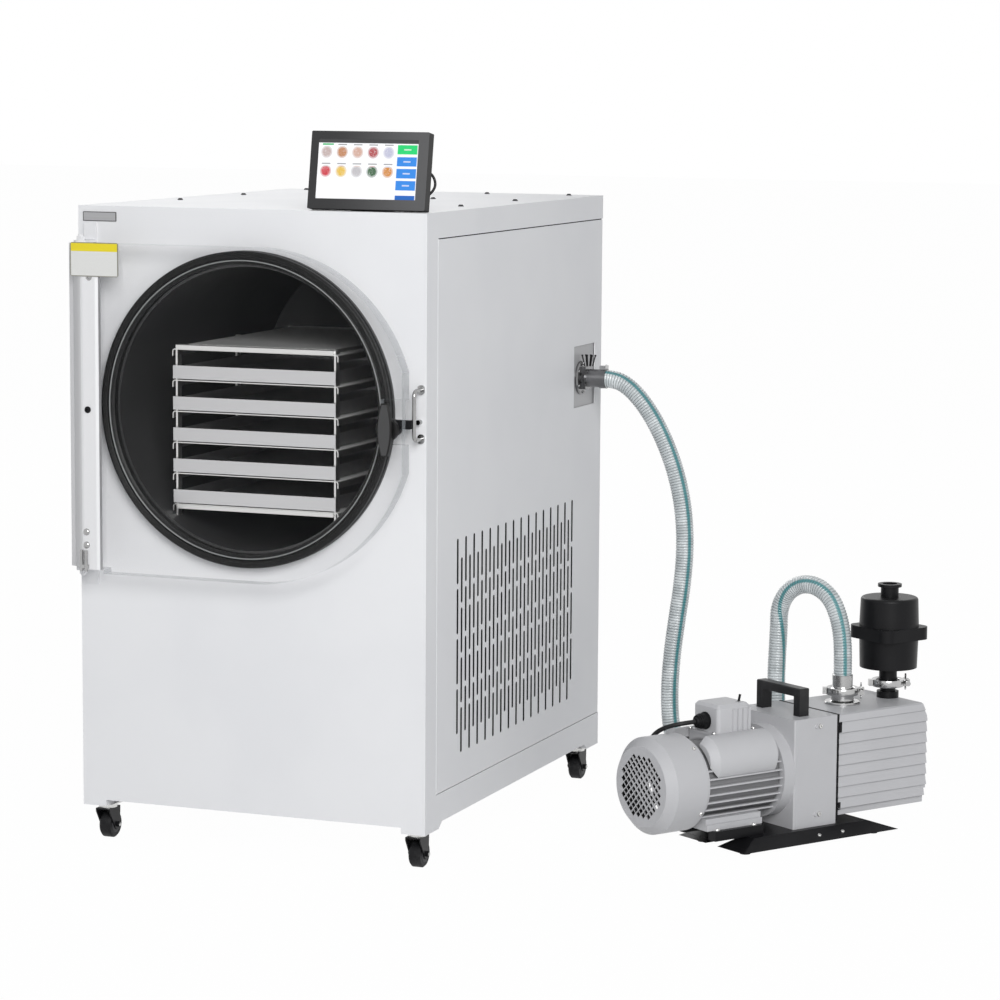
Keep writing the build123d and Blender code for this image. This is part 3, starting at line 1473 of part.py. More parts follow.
# moulded plug on the coil's far side: a body, two flat blades and a round pin, and its tail
PLUG_W = 27.0
PLUG_T = 19.0
PLUG_START = COIL_AT[0] - 30.0
PLUG_END = COIL_AT[0] + 6.0
PLUG_SIDE = COIL_AT[1] + 43.0
PLUG_Z = COIL_HIGH + PLUG_T / 2
with BuildPart() as power_plug:
    with BuildSketch(pump.offset(COIL_HIGH)):
        with Locations(((PLUG_START + PLUG_END) / 2, PLUG_SIDE)):
            RectangleRounded(PLUG_END - PLUG_START, PLUG_W, 6)
    extrude(amount=PLUG_T)
    for along, radius in ((PLUG_END, 7.5), (PLUG_END + 20, CORD_R + 1)):
        with BuildSketch(across(along, PLUG_Z)):
            with Locations((PLUG_SIDE, 0)):
                Circle(radius)
    loft()
    with BuildSketch(across(PLUG_START, PLUG_Z)):
        with Locations((PLUG_SIDE - 6.35, 3), (PLUG_SIDE + 6.35, 3)):
            Rectangle(1.6, 6.3)
        with Locations((PLUG_SIDE, -5)):
            Circle(2.4)
    extrude(amount=-17)
save(power_plug, "power_plug")
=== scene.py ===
import json
from math import cos, pi, radians, sin, tau

import bmesh
import bpy
from mathutils import Matrix, Vector


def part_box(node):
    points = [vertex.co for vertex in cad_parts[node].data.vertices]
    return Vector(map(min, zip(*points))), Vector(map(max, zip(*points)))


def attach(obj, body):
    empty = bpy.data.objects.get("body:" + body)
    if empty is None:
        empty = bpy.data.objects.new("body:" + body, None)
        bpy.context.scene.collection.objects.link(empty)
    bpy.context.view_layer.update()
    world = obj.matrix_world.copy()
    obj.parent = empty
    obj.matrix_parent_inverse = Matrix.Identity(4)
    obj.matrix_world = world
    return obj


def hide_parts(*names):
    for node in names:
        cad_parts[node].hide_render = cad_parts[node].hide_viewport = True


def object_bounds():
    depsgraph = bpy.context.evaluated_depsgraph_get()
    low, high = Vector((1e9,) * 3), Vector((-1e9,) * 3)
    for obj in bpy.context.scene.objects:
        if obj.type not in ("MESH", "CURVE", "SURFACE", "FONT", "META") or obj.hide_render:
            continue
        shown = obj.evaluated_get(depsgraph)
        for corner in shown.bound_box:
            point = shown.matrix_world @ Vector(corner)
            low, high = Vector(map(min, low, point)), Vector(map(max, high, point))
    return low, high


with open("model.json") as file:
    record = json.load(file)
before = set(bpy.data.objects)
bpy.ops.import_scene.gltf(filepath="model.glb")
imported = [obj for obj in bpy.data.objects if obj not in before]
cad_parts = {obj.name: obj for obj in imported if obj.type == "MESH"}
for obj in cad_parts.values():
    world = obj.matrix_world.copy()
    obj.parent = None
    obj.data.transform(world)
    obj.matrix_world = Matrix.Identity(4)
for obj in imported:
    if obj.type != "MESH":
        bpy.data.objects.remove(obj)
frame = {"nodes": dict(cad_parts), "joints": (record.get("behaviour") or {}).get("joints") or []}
cad_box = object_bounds()
nodes = frame["nodes"]

# ---------------------------------------------------------------------------- the room
# A white studio corner: a pale floor that keeps a soft shadow, a white surround, one broad
# lamp in front, a little to the right of the door, and a weaker one high behind.


class Link:
    """A shader socket that can be used in sums, each of which adds its own Math node."""

    def __init__(self, tree, socket):
        self.tree = tree
        self.socket = socket

    def math(self, operation, *terms):
        node = self.tree.nodes.new("ShaderNodeMath")
        node.operation = operation
        for slot, term in zip(node.inputs, terms):
            feed(slot, term)
        return Link(self.tree, node.outputs[0])

    def __add__(self, other):
        return self.math("ADD", self, other)

    def __sub__(self, other):
        return self.math("SUBTRACT", self, other)

    def __rsub__(self, other):
        return self.math("SUBTRACT", other, self)

    def __mul__(self, other):
        return self.math("MULTIPLY", self, other)

    def __truediv__(self, other):
        return self.math("DIVIDE", self, other)

    def __pow__(self, other):
        return self.math("POWER", self, other)

    def __gt__(self, other):
        return self.math("GREATER_THAN", self, other)

    def __lt__(self, other):
        return self.math("LESS_THAN", self, other)

    def __abs__(self):
        return self.math("ABSOLUTE", self)

    __radd__ = __add__
    __rmul__ = __mul__

    def wrap(self, period):
        """The remainder in each period, from 0 to period."""
        return self.math("FLOORED_MODULO", self, period)

    def floor(self):
        return self.math("FLOOR", self)

    def least(self, other):
        """The smaller of this and another value."""
        return self.math("MINIMUM", self, other)

    def rise(self, low, high):
        """0 up to low, 1 from high on, and a soft step between them."""
        node = self.tree.nodes.new("ShaderNodeMapRange")
        node.interpolation_type = "SMOOTHSTEP"
        for slot, term in zip(node.inputs, (self, low, high, 0.0, 1.0)):
            feed(slot, term)
        return Link(self.tree, node.outputs[0])


def feed(slot, value):
    """Sets an input to a number or a colour, or joins it to a link."""
    if isinstance(value, Link):
        value.tree.links.new(value.socket, slot)
    else:
        slot.default_value = value


class Finish:
    """A material under way. node() adds any node; surface() closes it with the main shader."""

    def __init__(self, name):
        self.material = bpy.data.materials.new(name)
        self.material.use_nodes = True
        self.tree = self.material.node_tree
        self.tree.nodes.clear()

    def node(self, kind, settings=None, output=0, **inputs):
        """Adds a node: its settings or stops first, then its sockets, with _ for a space."""
        made = self.tree.nodes.new("ShaderNode" + kind)
        for key, value in (settings or {}).items():
            if key == "stops":
                made.color_ramp.interpolation = "CONSTANT"
                ramp = made.color_ramp.elements
                while len(ramp) < len(value):
                    ramp.new(0.5)
                for element, (place, colour) in zip(ramp, value):
                    element.position = place
                    element.color = (*colour, 1)
            else:
                setattr(made, key, value)
        for key, value in inputs.items():
            key = key.replace("_", " ")
            slot = next(s for s in made.inputs if s.name == key and s.enabled)
            feed(slot, value)
        return Link(self.tree, made.outputs[output])

    def place(self, which="Object"):
        """The piece's own coordinates, in metres."""
        return self.node("TexCoord", output=which)

    def split(self, vector):
        made = self.tree.nodes.new("ShaderNodeSeparateXYZ")
        feed(made.inputs[0], vector)
        return [Link(self.tree, output) for output in made.outputs]

    def position(self):
        """X, Y and Z of a spot on the piece, in metres."""
        return self.split(self.place())

    def facing(self):
        """X, Y and Z of the way that the surface faces."""
        return self.split(self.place("Normal"))

    def noise(self, scale, detail=3.0, vector=None):
        """Soft noise, with its features 1 / scale metres apart."""
        where = self.place() if vector is None else vector
        return self.node("TexNoise", Vector=where, Scale=scale, Detail=detail)

    def streaks(self, scale, detail=3.0):
        """Noise drawn out into lines, by its scale along each axis."""
        return self.noise(1.0, detail, self.node("Mapping", Vector=self.place(), Scale=scale))

    def blend(self, factor, first, second):
        """A colour between two others."""
        made = self.tree.nodes.new("ShaderNodeMix")
        made.data_type = "RGBA"
        for slot, value in ((0, factor), (6, first), (7, second)):
            if isinstance(value, tuple):
                value = (*value, 1)
            feed(made.inputs[slot], value)
        return Link(self.tree, made.outputs[2])

    def bump(self, height, distance, strength):
        return self.node("Bump", Height=height, Distance=distance, Strength=strength)

    def surface(self, **inputs):
        """The main shader; plain colours are given as three numbers."""
        for key, value in inputs.items():
            if isinstance(value, tuple) and len(value) == 3:
                inputs[key] = (*value, 1)
        shader = self.node("BsdfPrincipled", **inputs)
        out = self.tree.nodes.new("ShaderNodeOutputMaterial")
        feed(out.inputs["Surface"], shader)
        return self.material


def looked_at(tree):
    """1 for a direct, mirrored or refracted look, and 0 for rays that only carry light."""
    path = tree.nodes.new("ShaderNodeLightPath")
    rays = ("Is Camera Ray", "Is Glossy Ray", "Is Transmission Ray")
    direct, mirrored, refracted = (Link(tree, path.outputs[ray]) for ray in rays)
    return (direct + mirrored + refracted).least(1.0)


def close_mixed(tree, output, factor, first, second):
    """Closes a tree with a mix of two shaders."""
    mixed = tree.nodes.new("ShaderNodeMixShader")
    for slot, value in zip(mixed.inputs, (factor, first, second)):
        feed(slot, value)
    out = tree.nodes.new(output)
    tree.links.new(mixed.outputs[0], out.inputs["Surface"])


def studio_white(name, shade, share):
    """A matt white that any look sees mostly as plain white."""
    finish = Finish(name)
    lit = finish.node("BsdfDiffuse", Color=(shade, shade, shade, 1))
    plain = finish.node("Emission", Color=(1, 1, 1, 1), Strength=1.0)
    factor = looked_at(finish.tree) * share
    close_mixed(finish.tree, "ShaderNodeOutputMaterial", factor, lit, plain)
    return finish.material


def stand(name, data):
    """Puts data into the scene as an object."""
    thing = bpy.data.objects.new(name, data)
    bpy.context.scene.collection.objects.link(thing)
    return thing


FLOOR_CORNERS = [(-30, -30, 0), (30, -30, 0), (30, 30, 0), (-30, 30, 0)]
FLOOR_DROP = 0.0005
FLOOR_SHADE = 0.86
FLOOR_PLAIN = 0.985
floor_mesh = bpy.data.meshes.new("studio_floor")
floor_mesh.from_pydata(FLOOR_CORNERS, [], [(0, 1, 2, 3)])
floor_mesh.materials.append(studio_white("studio_floor_white", FLOOR_SHADE, FLOOR_PLAIN))
studio_floor = stand("studio_floor", floor_mesh)
studio_floor.location.z = -FLOOR_DROP

AMBIENT_COLOUR = (0.93, 0.96, 1.0, 1)
AMBIENT_STRENGTH = 0.27
world = bpy.data.worlds.new("studio_surround")
world.use_nodes = True
bpy.context.scene.world = world
surround = world.node_tree
surround.nodes.clear()
lights = []
for colour, strength in ((AMBIENT_COLOUR, AMBIENT_STRENGTH), ((1, 1, 1, 1), 1.0)):
    light = surround.nodes.new("ShaderNodeBackground")
    light.inputs["Color"].default_value = colour
    light.inputs["Strength"].default_value = strength
    lights.append(Link(surround, light.outputs[0]))
close_mixed(surround, "ShaderNodeOutputWorld", looked_at(surround), *lights)

# each lamp's place, its width and its power in watts
LAMPS = {
    "key_lamp": ((2.86, -5.3, 3.0), 3.2, 290.0),
    "back_lamp": ((-3.0, 4.5, 3.2), 2.5, 60.0),
}
view_middle = (cad_box[0] + cad_box[1]) / 2
for name, (spot, size, power) in LAMPS.items():
    lamp = bpy.data.lights.new(name, "AREA")
    lamp.size = size
    lamp.energy = power
    lamp_object = stand(name, lamp)
    lamp_object.location = spot
    lamp_object.rotation_euler = (view_middle - Vector(spot)).to_track_quat("-Z", "Y").to_euler()

bpy.context.scene.view_settings.view_transform = "Standard"

# ---------------------------------------------------------------------------- the camera
# A long lens a little above the lid, turned to the left so that the cabinet's door and its
# right side both show.
cabinet_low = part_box("front_panel")[0]
CAMERA_SPOT = cabinet_low + Vector((2.6054, -4.8432, 1.1962))
CAMERA_TURN = radians(21.25)
CAMERA_DROP = radians(7.35)
CAMERA_ROLL = radians(0.37)
CAMERA_LENS = 123.4
CAMERA_SENSOR = 36.0

camera = bpy.data.cameras.new("studio_camera")
camera.lens = CAMERA_LENS
camera.sensor_width = CAMERA_SENSOR
camera_object = stand("studio_camera", camera)
aim = Matrix.Rotation(CAMERA_TURN, 4, "Z") @ Matrix.Rotation(pi / 2 - CAMERA_DROP, 4, "X")
aim = aim @ Matrix.Rotation(CAMERA_ROLL, 4, "Z")
camera_object.matrix_world = Matrix.Translation(CAMERA_SPOT) @ aim
bpy.context.scene.camera = camera_object

# ------------------------------------------------------------------------- vacuum hose
# A clear vinyl hose with a coiled rib and a blue-green tracer line. It is pushed over the
# port's spigot, hangs down behind the pump, and arches over to the pump's inlet.
HOSE_R = 0.0155
HOSE_PITCH = 0.0047
HOSE_SIDES = 24
# each ring of a pitch: where it lies as a share of the pitch, and its depth under the crown
GROOVE_AT = 0.79
HOSE_RINGS = ((0.0, 0.0004), (0.28, 0.0), (0.58, 0.0003), (GROOVE_AT, 0.0013))


def middle_of(name):
    """The middle of a node's box."""
    low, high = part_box(name)
    return (low + high) / 2


pump_middle = middle_of("pump_housing")
shaft_line = next(j for j in frame["joints"] if j["name"] == "motor_fan_spin")
along = Vector(shaft_line["axis"])
aside = Vector((-along.y, along.x, 0))
UP = Vector((0, 0, 1))


def by_cabinet(x, y, z):
    """A point in millimetres from the left, the front and the foot of the cabinet's sheets."""
    return cabinet_low + Vector((x, y, z)) / 1000


def by_pump(u, v, z):
    """A point in millimetres along and across the pump's shaft, and above the floor."""
    flat = Vector((pump_middle.x, pump_middle.y, 0)) + (along * u + aside * v) / 1000
    return Vector((flat.x, flat.y, z / 1000))


def on_floor(x, y, z):
    """As by_cabinet, but with the height above the floor."""
    point = by_cabinet(x, y, 0)
    return Vector((point.x, point.y, z / 1000))


INLET_U = 120
inlet = by_pump(INLET_U, 0, 0)
arch_foot = on_floor(973, 656, 0)
arch_line = inlet - arch_foot
arch_span = arch_line.length * 1000
ARCH_R = 64
ARCH_Z = 333
ARCH_TURNS = (-75, -45, -15, 15, 45, 75)
ARCH_INSET = 11
ARCH_MIDDLE = arch_span - ARCH_INSET - ARCH_R * sin(radians(ARCH_TURNS[-1]))


def over_arch(travel, z):
    """A point over the line from the arch's free foot to the inlet, in mm along it."""
    flat = arch_foot + arch_line * (travel / arch_span)
    return Vector((flat.x, flat.y, z / 1000))


def crown(degrees):
    """A point on the arch's round top, by its angle from straight up."""
    turn = radians(degrees)
    return over_arch(ARCH_MIDDLE + ARCH_R * sin(turn), ARCH_Z + ARCH_R * cos(turn))


hose_route = [
    by_cabinet(636, 700, 650),
    by_cabinet(660, 700, 650),
    by_cabinet(684, 700, 639),
    by_cabinet(708, 699, 617),
    by_cabinet(732, 698, 585),
    by_cabinet(755, 696, 544),
    by_cabinet(776, 692, 494),
    by_cabinet(791, 687, 438),
    by_cabinet(798, 681, 374),
    by_cabinet(796, 674, 308),
    by_cabinet(789, 666, 244),
    by_cabinet(783, 659, 180),
    by_cabinet(781, 655, 120),
    by_cabinet(784, 654, 66),
    by_cabinet(796, 655, 18),
    on_floor(820, 657, 44),
    on_floor(856, 661, 19),
    on_floor(900, 666, 18),
    on_floor(938, 667, 38),
    on_floor(962, 663, 76),
    on_floor(972, 659, 124),
    over_arch(-1, 176),
    over_arch(-3, 228),
    over_arch(-1, 276),
    over_arch(1, 316),
    *[crown(degrees) for degrees in ARCH_TURNS],
    over_arch(arch_span - 2, 314),
    by_pump(INLET_U, 0, 272),
    by_pump(INLET_U, 0, 234),
]


def route_curve(name, points, thickness):
    """One open spline through a cord's route, with the route's points as its controls."""
    curve = bpy.data.curves.new(name, "CURVE")
    curve.dimensions = "3D"
    curve.resolution_u = 12
    curve.bevel_depth = thickness
    curve.bevel_resolution = 6
    curve.use_fill_caps = thickness > 0
    spline = curve.splines.new("NURBS")
    spline.points.add(len(points) - 1)
    for control, point in zip(spline.points, points):
        control.co = (*point, 1)
    spline.order_u = 3
    spline.use_endpoint_u = True
    return stand(name, curve)


def centre_line(points):
    """The points along a route's spline."""
    bare = route_curve("bare_route", points, 0.0)
    bpy.context.view_layer.update()
    mesh = bpy.data.meshes.new_from_object(bare)
    line = [v.co.copy() for v in mesh.vertices]
    bpy.data.objects.remove(bare)
    bpy.data.meshes.remove(mesh)
    return line


def evenly(line, step):
    """Points a step apart along a line, with the direction at each."""
    places, travelled, wanted = [], 0.0, 0.0
    for first, second in zip(line, line[1:]):
        span = (second - first).length
        while wanted <= travelled + span and span > 0:
            share = (wanted - travelled) / span
            places.append((first.lerp(second, share), (second - first).normalized()))
            wanted += step
        travelled += span
    return places


def new_piece(name, mesh, body, material):
    """Links a mesh as a piece of the object that moves with a body."""
    piece = stand(name, mesh)
    mesh.materials.append(material)
    mesh.shade_smooth()
    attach(piece, body)
    return piece


def hose_mesh(line):
    """A tube with a groove between ribs, unrolled so that U runs round and V along it."""
    mesh = bmesh.new()
    layer = mesh.loops.layers.uv.new("unrolled")
    side = UP
    rings, travel = [], []
    for index, (spot, direction) in enumerate(evenly(line, HOSE_PITCH)):
        side = (side - direction * side.dot(direction)).normalized()
        other = direction.cross(side)
        for share, depth in HOSE_RINGS:
            reach = HOSE_R - depth
            centre = spot + direction * share * HOSE_PITCH
            turns = [tau * k / HOSE_SIDES for k in range(HOSE_SIDES)]
            ring = [centre + (side * cos(t) + other * sin(t)) * reach for t in turns]
            rings.append([mesh.verts.new(point) for point in ring])
            travel.append((index + share) * HOSE_PITCH)
    for ring, (near, far) in enumerate(zip(rings, rings[1:])):
        for k in range(HOSE_SIDES):
            n = (k + 1) % HOSE_SIDES
            face = mesh.faces.new((near[k], near[n], far[n], far[k]))
            corners = ((k, ring), (k + 1, ring), (k + 1, ring + 1), (k, ring + 1))
            for loop, (u, v) in zip(face.loops, corners):
                loop[layer].uv = (u / HOSE_SIDES, travel[v])
    mesh.faces.new(list(reversed(rings[0])))
    mesh.faces.new(rings[-1])
    mesh.normal_update()
    result = bpy.data.meshes.new("ribbed_hose")
    mesh.to_mesh(result)
    mesh.free()
    return result


def hose_vinyl():
    finish = Finish("ribbed_vinyl")
    u, v, _ = finish.split(finish.node("UVMap", {"uv_map": "unrolled"}))
    # milky ribs, a dark line painted in each groove as its shade, and a faint painted shadow of
    # the far wall
    groove = 1 - abs((v / HOSE_PITCH).wrap(1.0) - GROOVE_AT).rise(0.04, 0.13)
    cloud = finish.noise(45.0)
    wall = finish.blend(cloud.rise(0.4, 0.7), (0.50, 0.54, 0.55), (0.68, 0.72, 0.73))
    colour = finish.blend(groove * (0.92 - 0.26 * v.rise(0.5, 0.95)), wall, (0.08, 0.09, 0.10))
    # the tracer line winds slowly round the hose as it is handled
    middle = 0.10 + 0.32 * v.rise(0.75, 0.90) - 0.40 * v.rise(1.10, 1.34)
    tracer = 1 - abs((u - middle + 0.5).wrap(1.0) - 0.5).rise(0.020, 0.048)
    colour = finish.blend(tracer * (0.90 - 0.35 * groove), colour, (0.005, 0.20, 0.22))
    return finish.surface(
        Base_Color=colour, Roughness=0.28 + groove * 0.2, Coat_Weight=0.4, Coat_Roughness=0.1,
    )


hose_line = centre_line(hose_route)
ribbed_hose = new_piece("ribbed_hose", hose_mesh(hose_line), "frame", hose_vinyl())
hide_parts("vacuum_hose")

# -------------------------------------------------------------------------- mains lead
# A round rubber lead from the terminal box's gland. It drops behind the fan cover and ends
# in a neat coil on the floor, with its moulded plug lying on the turns.
LEAD_R = 0.00375
COIL_MIDDLE = (-10, 140)

lead_route = [
    by_pump(-194, 0, 205),
    by_pump(-214, 0, 205),
    by_pump(-230, 13, 201),
    by_pump(-238, 36, 191),
    by_pump(-236, 62, 173),
    by_pump(-224, 86, 142),
    by_pump(-206, 99, 102),
    by_pump(-183, 105, 62),
    by_pump(-153, 106, 28),
    by_pump(-120, 101, 8),
    by_pump(-84, 95, 4.05),
    by_pump(-46, 91, 4.05),
]


def coil_point(degrees, reach, height):
    """A point of the coil, by its angle, its reach from the middle and its height."""
    angle = radians(degrees)
    across = COIL_MIDDLE[1] + reach * sin(angle)
    return by_pump(COIL_MIDDLE[0] + reach * cos(angle), across, height)


# the reach and height of each turn, which steps over to the next in its last third
COIL_TURNS = ((49.5, 3.9), (42.3, 3.9), (35.0, 3.9), (35.2, 11.3), (42.4, 11.3))
COIL_STEP = 30
STEP_OVER = 240
for turn, onward in zip(COIL_TURNS, (*COIL_TURNS[1:], COIL_TURNS[-1])):
    for degrees in range(0, 360, COIL_STEP):
        share = max(0.0, (degrees - STEP_OVER) / (360 - STEP_OVER))
        reach, height = (here + (there - here) * share for here, there in zip(turn, onward))
        lead_route.append(coil_point(degrees - 90, reach, height))
# the free end climbs over the turns to the plug
for degrees, reach, height in (
    (-90, 42.4, 11.3), (-58, 42.4, 12.2), (-26, 43.5, 16), (4, 45, 21.5), (30, 47, 24.5),
):
    lead_route.append(coil_point(degrees, reach, height))
lead_route.append(by_pump(16, 183, 24.5))


def lead_rubber():
    finish = Finish("lead_rubber")
    grain = finish.noise(900.0)
    return finish.surface(
        Base_Color=finish.blend(grain, (0.008, 0.008, 0.009), (0.018, 0.018, 0.019)),
        Specular_IOR_Level=0.3,
        Roughness=0.42 + 0.18 * grain,
        Normal=finish.bump(grain, 0.0001, 0.4),
    )


black_rubber = lead_rubber()


def rubber_lead(name, points, radius, *replaced):
    """A black lead in place of nodes of the frame."""
    piece = route_curve(name, points, radius)
    piece.data.materials.append(black_rubber)
    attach(piece, "frame")
    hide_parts(*replaced)
    return piece


mains_lead = rubber_lead("mains_lead", lead_route, LEAD_R, "power_cord", "power_cord_coil")

# --------------------------------------------------------------------- white steel case
# Folded sheet steel with a fine-textured white powder coat: the sill frame, the wrapped
# front, two screwed side sheets with slots, the back sheet and the lid.
WHITE = (0.83, 0.832, 0.845)
WHITE_SHADE = (0.80, 0.803, 0.82)
# the painted shade on the slots' cut edges
SLOT_EDGE_SHADE = (0.010, 0.010, 0.011)
# the sheets' slots all lie below this height above the case's foot, in metres
VENT_TOP = 0.46


def dress(name, material):
    """Gives a node of the frame its finish."""
    mesh = nodes[name].data
    mesh.materials.clear()
    mesh.materials.append(material)


def powder_coat(name, cut_axis=None):
    """White coat on a sheet; the cut edges of a slotted sheet get painted shade, as they lie in
    the dark of the case.
    """
    finish = Finish(name)
    peel = finish.noise(1500.0, 2.0)
    haze = finish.noise(5.0, 2.0)
    coat = finish.blend(haze.rise(0.35, 0.75), WHITE, WHITE_SHADE)
    if cut_axis is not None:
        # painted shade on the slots' cut edges, below VENT_TOP
        cut_edge = 1 - abs(finish.facing()[cut_axis]).rise(0.3, 0.7)
        slots = finish.position()[2] < cabinet_low.z + VENT_TOP
        coat = finish.blend(slots * cut_edge, coat, SLOT_EDGE_SHADE)
    return finish.surface(
        Base_Color=coat,
        Specular_IOR_Level=0.3,
        Roughness=0.46 + 0.08 * peel,
        Coat_Weight=0.04,
        Coat_Roughness=0.3,
        Normal=finish.bump(peel, 0.00012, 0.35),
    )


white_coat = powder_coat("white_powder_coat")
for name in ("base_frame", "front_panel", "top_cover"):
    dress(name, white_coat)
dress("rear_panel", powder_coat("rear_sheet_coat", cut_axis=1))


def moulded(name, colour, rough=0.45, grain=700.0, depth=0.0001):
    """Moulded plastic or coated metal with a fine grain and a slight change of gloss."""
    finish = Finish(name)
    texture = finish.noise(grain)
    patches = finish.noise(18.0)
    lighter = tuple(min(1.0, c * 1.25 + 0.002) for c in colour)
    return finish.surface(
        Base_Color=finish.blend(patches.rise(0.3, 0.8), colour, lighter),
        Specular_IOR_Level=0.14,
        Roughness=rough + 0.12 * patches,
        Normal=finish.bump(texture, depth, 0.4),
    )


black_moulding = moulded("black_moulding", (0.007, 0.007, 0.008))
dress("cover_screws", moulded("screw_grey", (0.060, 0.060, 0.062), 0.35))
dress("power_inlet", black_moulding)

# ------------------------------------------------------------------------- side sheets
# Two removable side sheets, punched with fields of round-ended slots before they were
# painted. Black sheets behind the slots are painted shade for the dark inside of the case,
# and black foam lies behind the gaps.
SHEET_T = 2.0
SLOT_W = 7.2
SLOT_L = 73.0
SLOT_STEP = 80.5
# columns start this far behind the front, and their lowest slots are centred at these heights
FIRST_COLUMN = 131.0
COLUMN_FEET = (164.5, 132.5)
SLOT_ROWS = 4
SHEET_EDGES = ((46.0, 47.2), (797.5, 918.2))
PORT_WINDOW = [(660.0, 600.0), (766.0, 600.0), (766.0, 706.0), (660.0, 706.0)]
slotted_coat = powder_coat("slotted_sheet_coat", cut_axis=0)


def round_slot(y, z):
    """The outline of a slot, from its middle in mm behind the front and above the foot."""
    r = SLOT_W / 2
    outline = []
    for k in range(16):
        turn = tau * (k + 0.5) / 16
        end = SLOT_L / 2 - r if turn < pi else r - SLOT_L / 2
        outline.append((y + r * cos(turn), z + end + r * sin(turn)))
    return outline


def slot_field(columns, spacing):
    """Columns of slots; every second column stands lower."""
    return [
        round_slot(FIRST_COLUMN + column * spacing / 2, COLUMN_FEET[column % 2] + row * SLOT_STEP)
        for column in range(2 * columns - 1) for row in range(SLOT_ROWS)
    ]


def side_sheet(name, x, openings):
    """A side sheet with its openings, its inner face x mm from the case's left."""
    (y0, z0), (y1, z1) = SHEET_EDGES
    outline = [(y0, z0), (y1, z0), (y1, z1), (y0, z1)]
    curve = bpy.data.curves.new(name, "CURVE")
    curve.dimensions = "2D"
    curve.fill_mode = "BOTH"
    curve.extrude = SHEET_T / 2000
    for loop in [outline, *openings]:
        spline = curve.splines.new("POLY")
        spline.points.add(len(loop) - 1)
        for control, (y, z) in zip(spline.points, loop):
            control.co = (y / 1000, z / 1000, 0, 1)
        spline.use_cyclic_u = True
    flat = stand(name, curve)
    bpy.context.view_layer.update()
    mesh = bpy.data.meshes.new_from_object(flat)
    bpy.data.objects.remove(flat)
    # stood upright: the curve's X runs to the back and its Y runs up
    mesh.transform(Matrix(((0, 0, 1, 0), (1, 0, 0, 0), (0, 1, 0, 0), (0, 0, 0, 1))))
    mesh.transform(Matrix.Translation(by_cabinet(x + SHEET_T / 2, 0, 0)))
    mesh.materials.clear()
    piece = new_piece(name, mesh, "frame", slotted_coat)
    mesh.set_sharp_from_angle(angle=radians(30))
    return piece


right_sheet = side_sheet("right_sheet", 598.0, [*slot_field(16, 35.0), PORT_WINDOW])
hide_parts("right_side_panel")
left_sheet = side_sheet("left_sheet", 0.0, slot_field(8, 70.0))
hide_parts("left_side_panel")


class Shape:
    """A mesh under way in millimetres, at an origin, with Z along a chosen direction."""

    def __init__(self, origin=Vector(), axis=UP, side=None):
        self.mesh = bmesh.new()
        self.at(origin, axis, side)

    def at(self, origin, axis=UP, side=None):
        """Moves the origin on, and turns Z along the axis and X to the side."""
        axis = Vector(axis).normalized()
        side = Vector(side) if side is not None else axis.orthogonal()
        side = (side - axis * side.dot(axis)).normalized()
        turn = Matrix((side, axis.cross(side), axis)).transposed().to_4x4()
        self.place = Matrix.Translation(origin) @ turn @ Matrix.Scale(0.001, 4)

    def point(self, x, y, z):
        return self.mesh.verts.new(self.place @ Vector((x, y, z)))

    def skin(self, rings):
        """Faces between closed rings of points; a ring of one point closes the end."""
        for near, far in zip(rings, rings[1:]):
            count = max(len(near), len(far))
            for k in range(count):
                n = (k + 1) % count
                ends = ((near, k), (near, n), (far, n), (far, k))
                corners = list(dict.fromkeys(ring[at % len(ring)] for ring, at in ends))
                if len(corners) > 2:
                    self.mesh.faces.new(corners)

    def turned(self, profile, sides):
        """A lathe piece from (radius, height) points; a radius of 0 closes an end."""
        turns = [tau * (k + 0.5) / sides for k in range(sides)]
        rings = []
        for radius, z in profile:
            around = turns if radius else [0]
            rings.append([self.point(radius * cos(t), radius * sin(t), z) for t in around])
        self.skin(rings)

    def shell(self, *layers):
        """Rings of (outline, height) from the foot up, closed at both ends."""
        rings = [[self.point(x, y, z) for x, y in outline] for outline, z in layers]
        self.skin(rings)
        self.mesh.faces.new(rings[0][::-1])
        self.mesh.faces.new(rings[-1])

    def prism(self, outline, low, high):
        """An outline in X and Y, raised from low to high."""
        self.shell((outline, low), (outline, high))

    def block(self, low, high):
        (x0, y0, z0), (x1, y1, z1) = low, high
        self.prism([(x0, y0), (x1, y0), (x1, y1), (x0, y1)], z0, z1)

    def screw(self, origin, axis, radius, height):
        """A pan head with a round socket."""
        self.at(origin, axis)
        self.turned((
            (0, 0), (radius, 0), (radius, 0.4 * height), (0.78 * radius, 0.9 * height),
            (0.5 * radius, height), (0.42 * radius, height), (0.36 * radius, 0.35 * height),
            (0, 0.3 * height),
        ), 16)

    def done(self, name, body, slot, material, sharp=38):
        """Closes the mesh as a piece, with its edges crisp where they turn hard."""
        bmesh.ops.remove_doubles(self.mesh, verts=self.mesh.verts, dist=1e-6)
        bmesh.ops.recalc_face_normals(self.mesh, faces=self.mesh.faces)
        result = bpy.data.meshes.new(name)
        self.mesh.to_mesh(result)
        self.mesh.free()
        piece = new_piece(name, result, body, material)
        result.set_sharp_from_angle(angle=radians(sharp))
        return piece


def blocks(name, origin, side, slot, material, boxes):
    """A fixed piece of upright blocks, each from its low to its high corner."""
    shape = Shape(origin, UP, side)
    for low, high in boxes:
        shape.block(low, high)
    shape.done(name, "frame", slot, material)


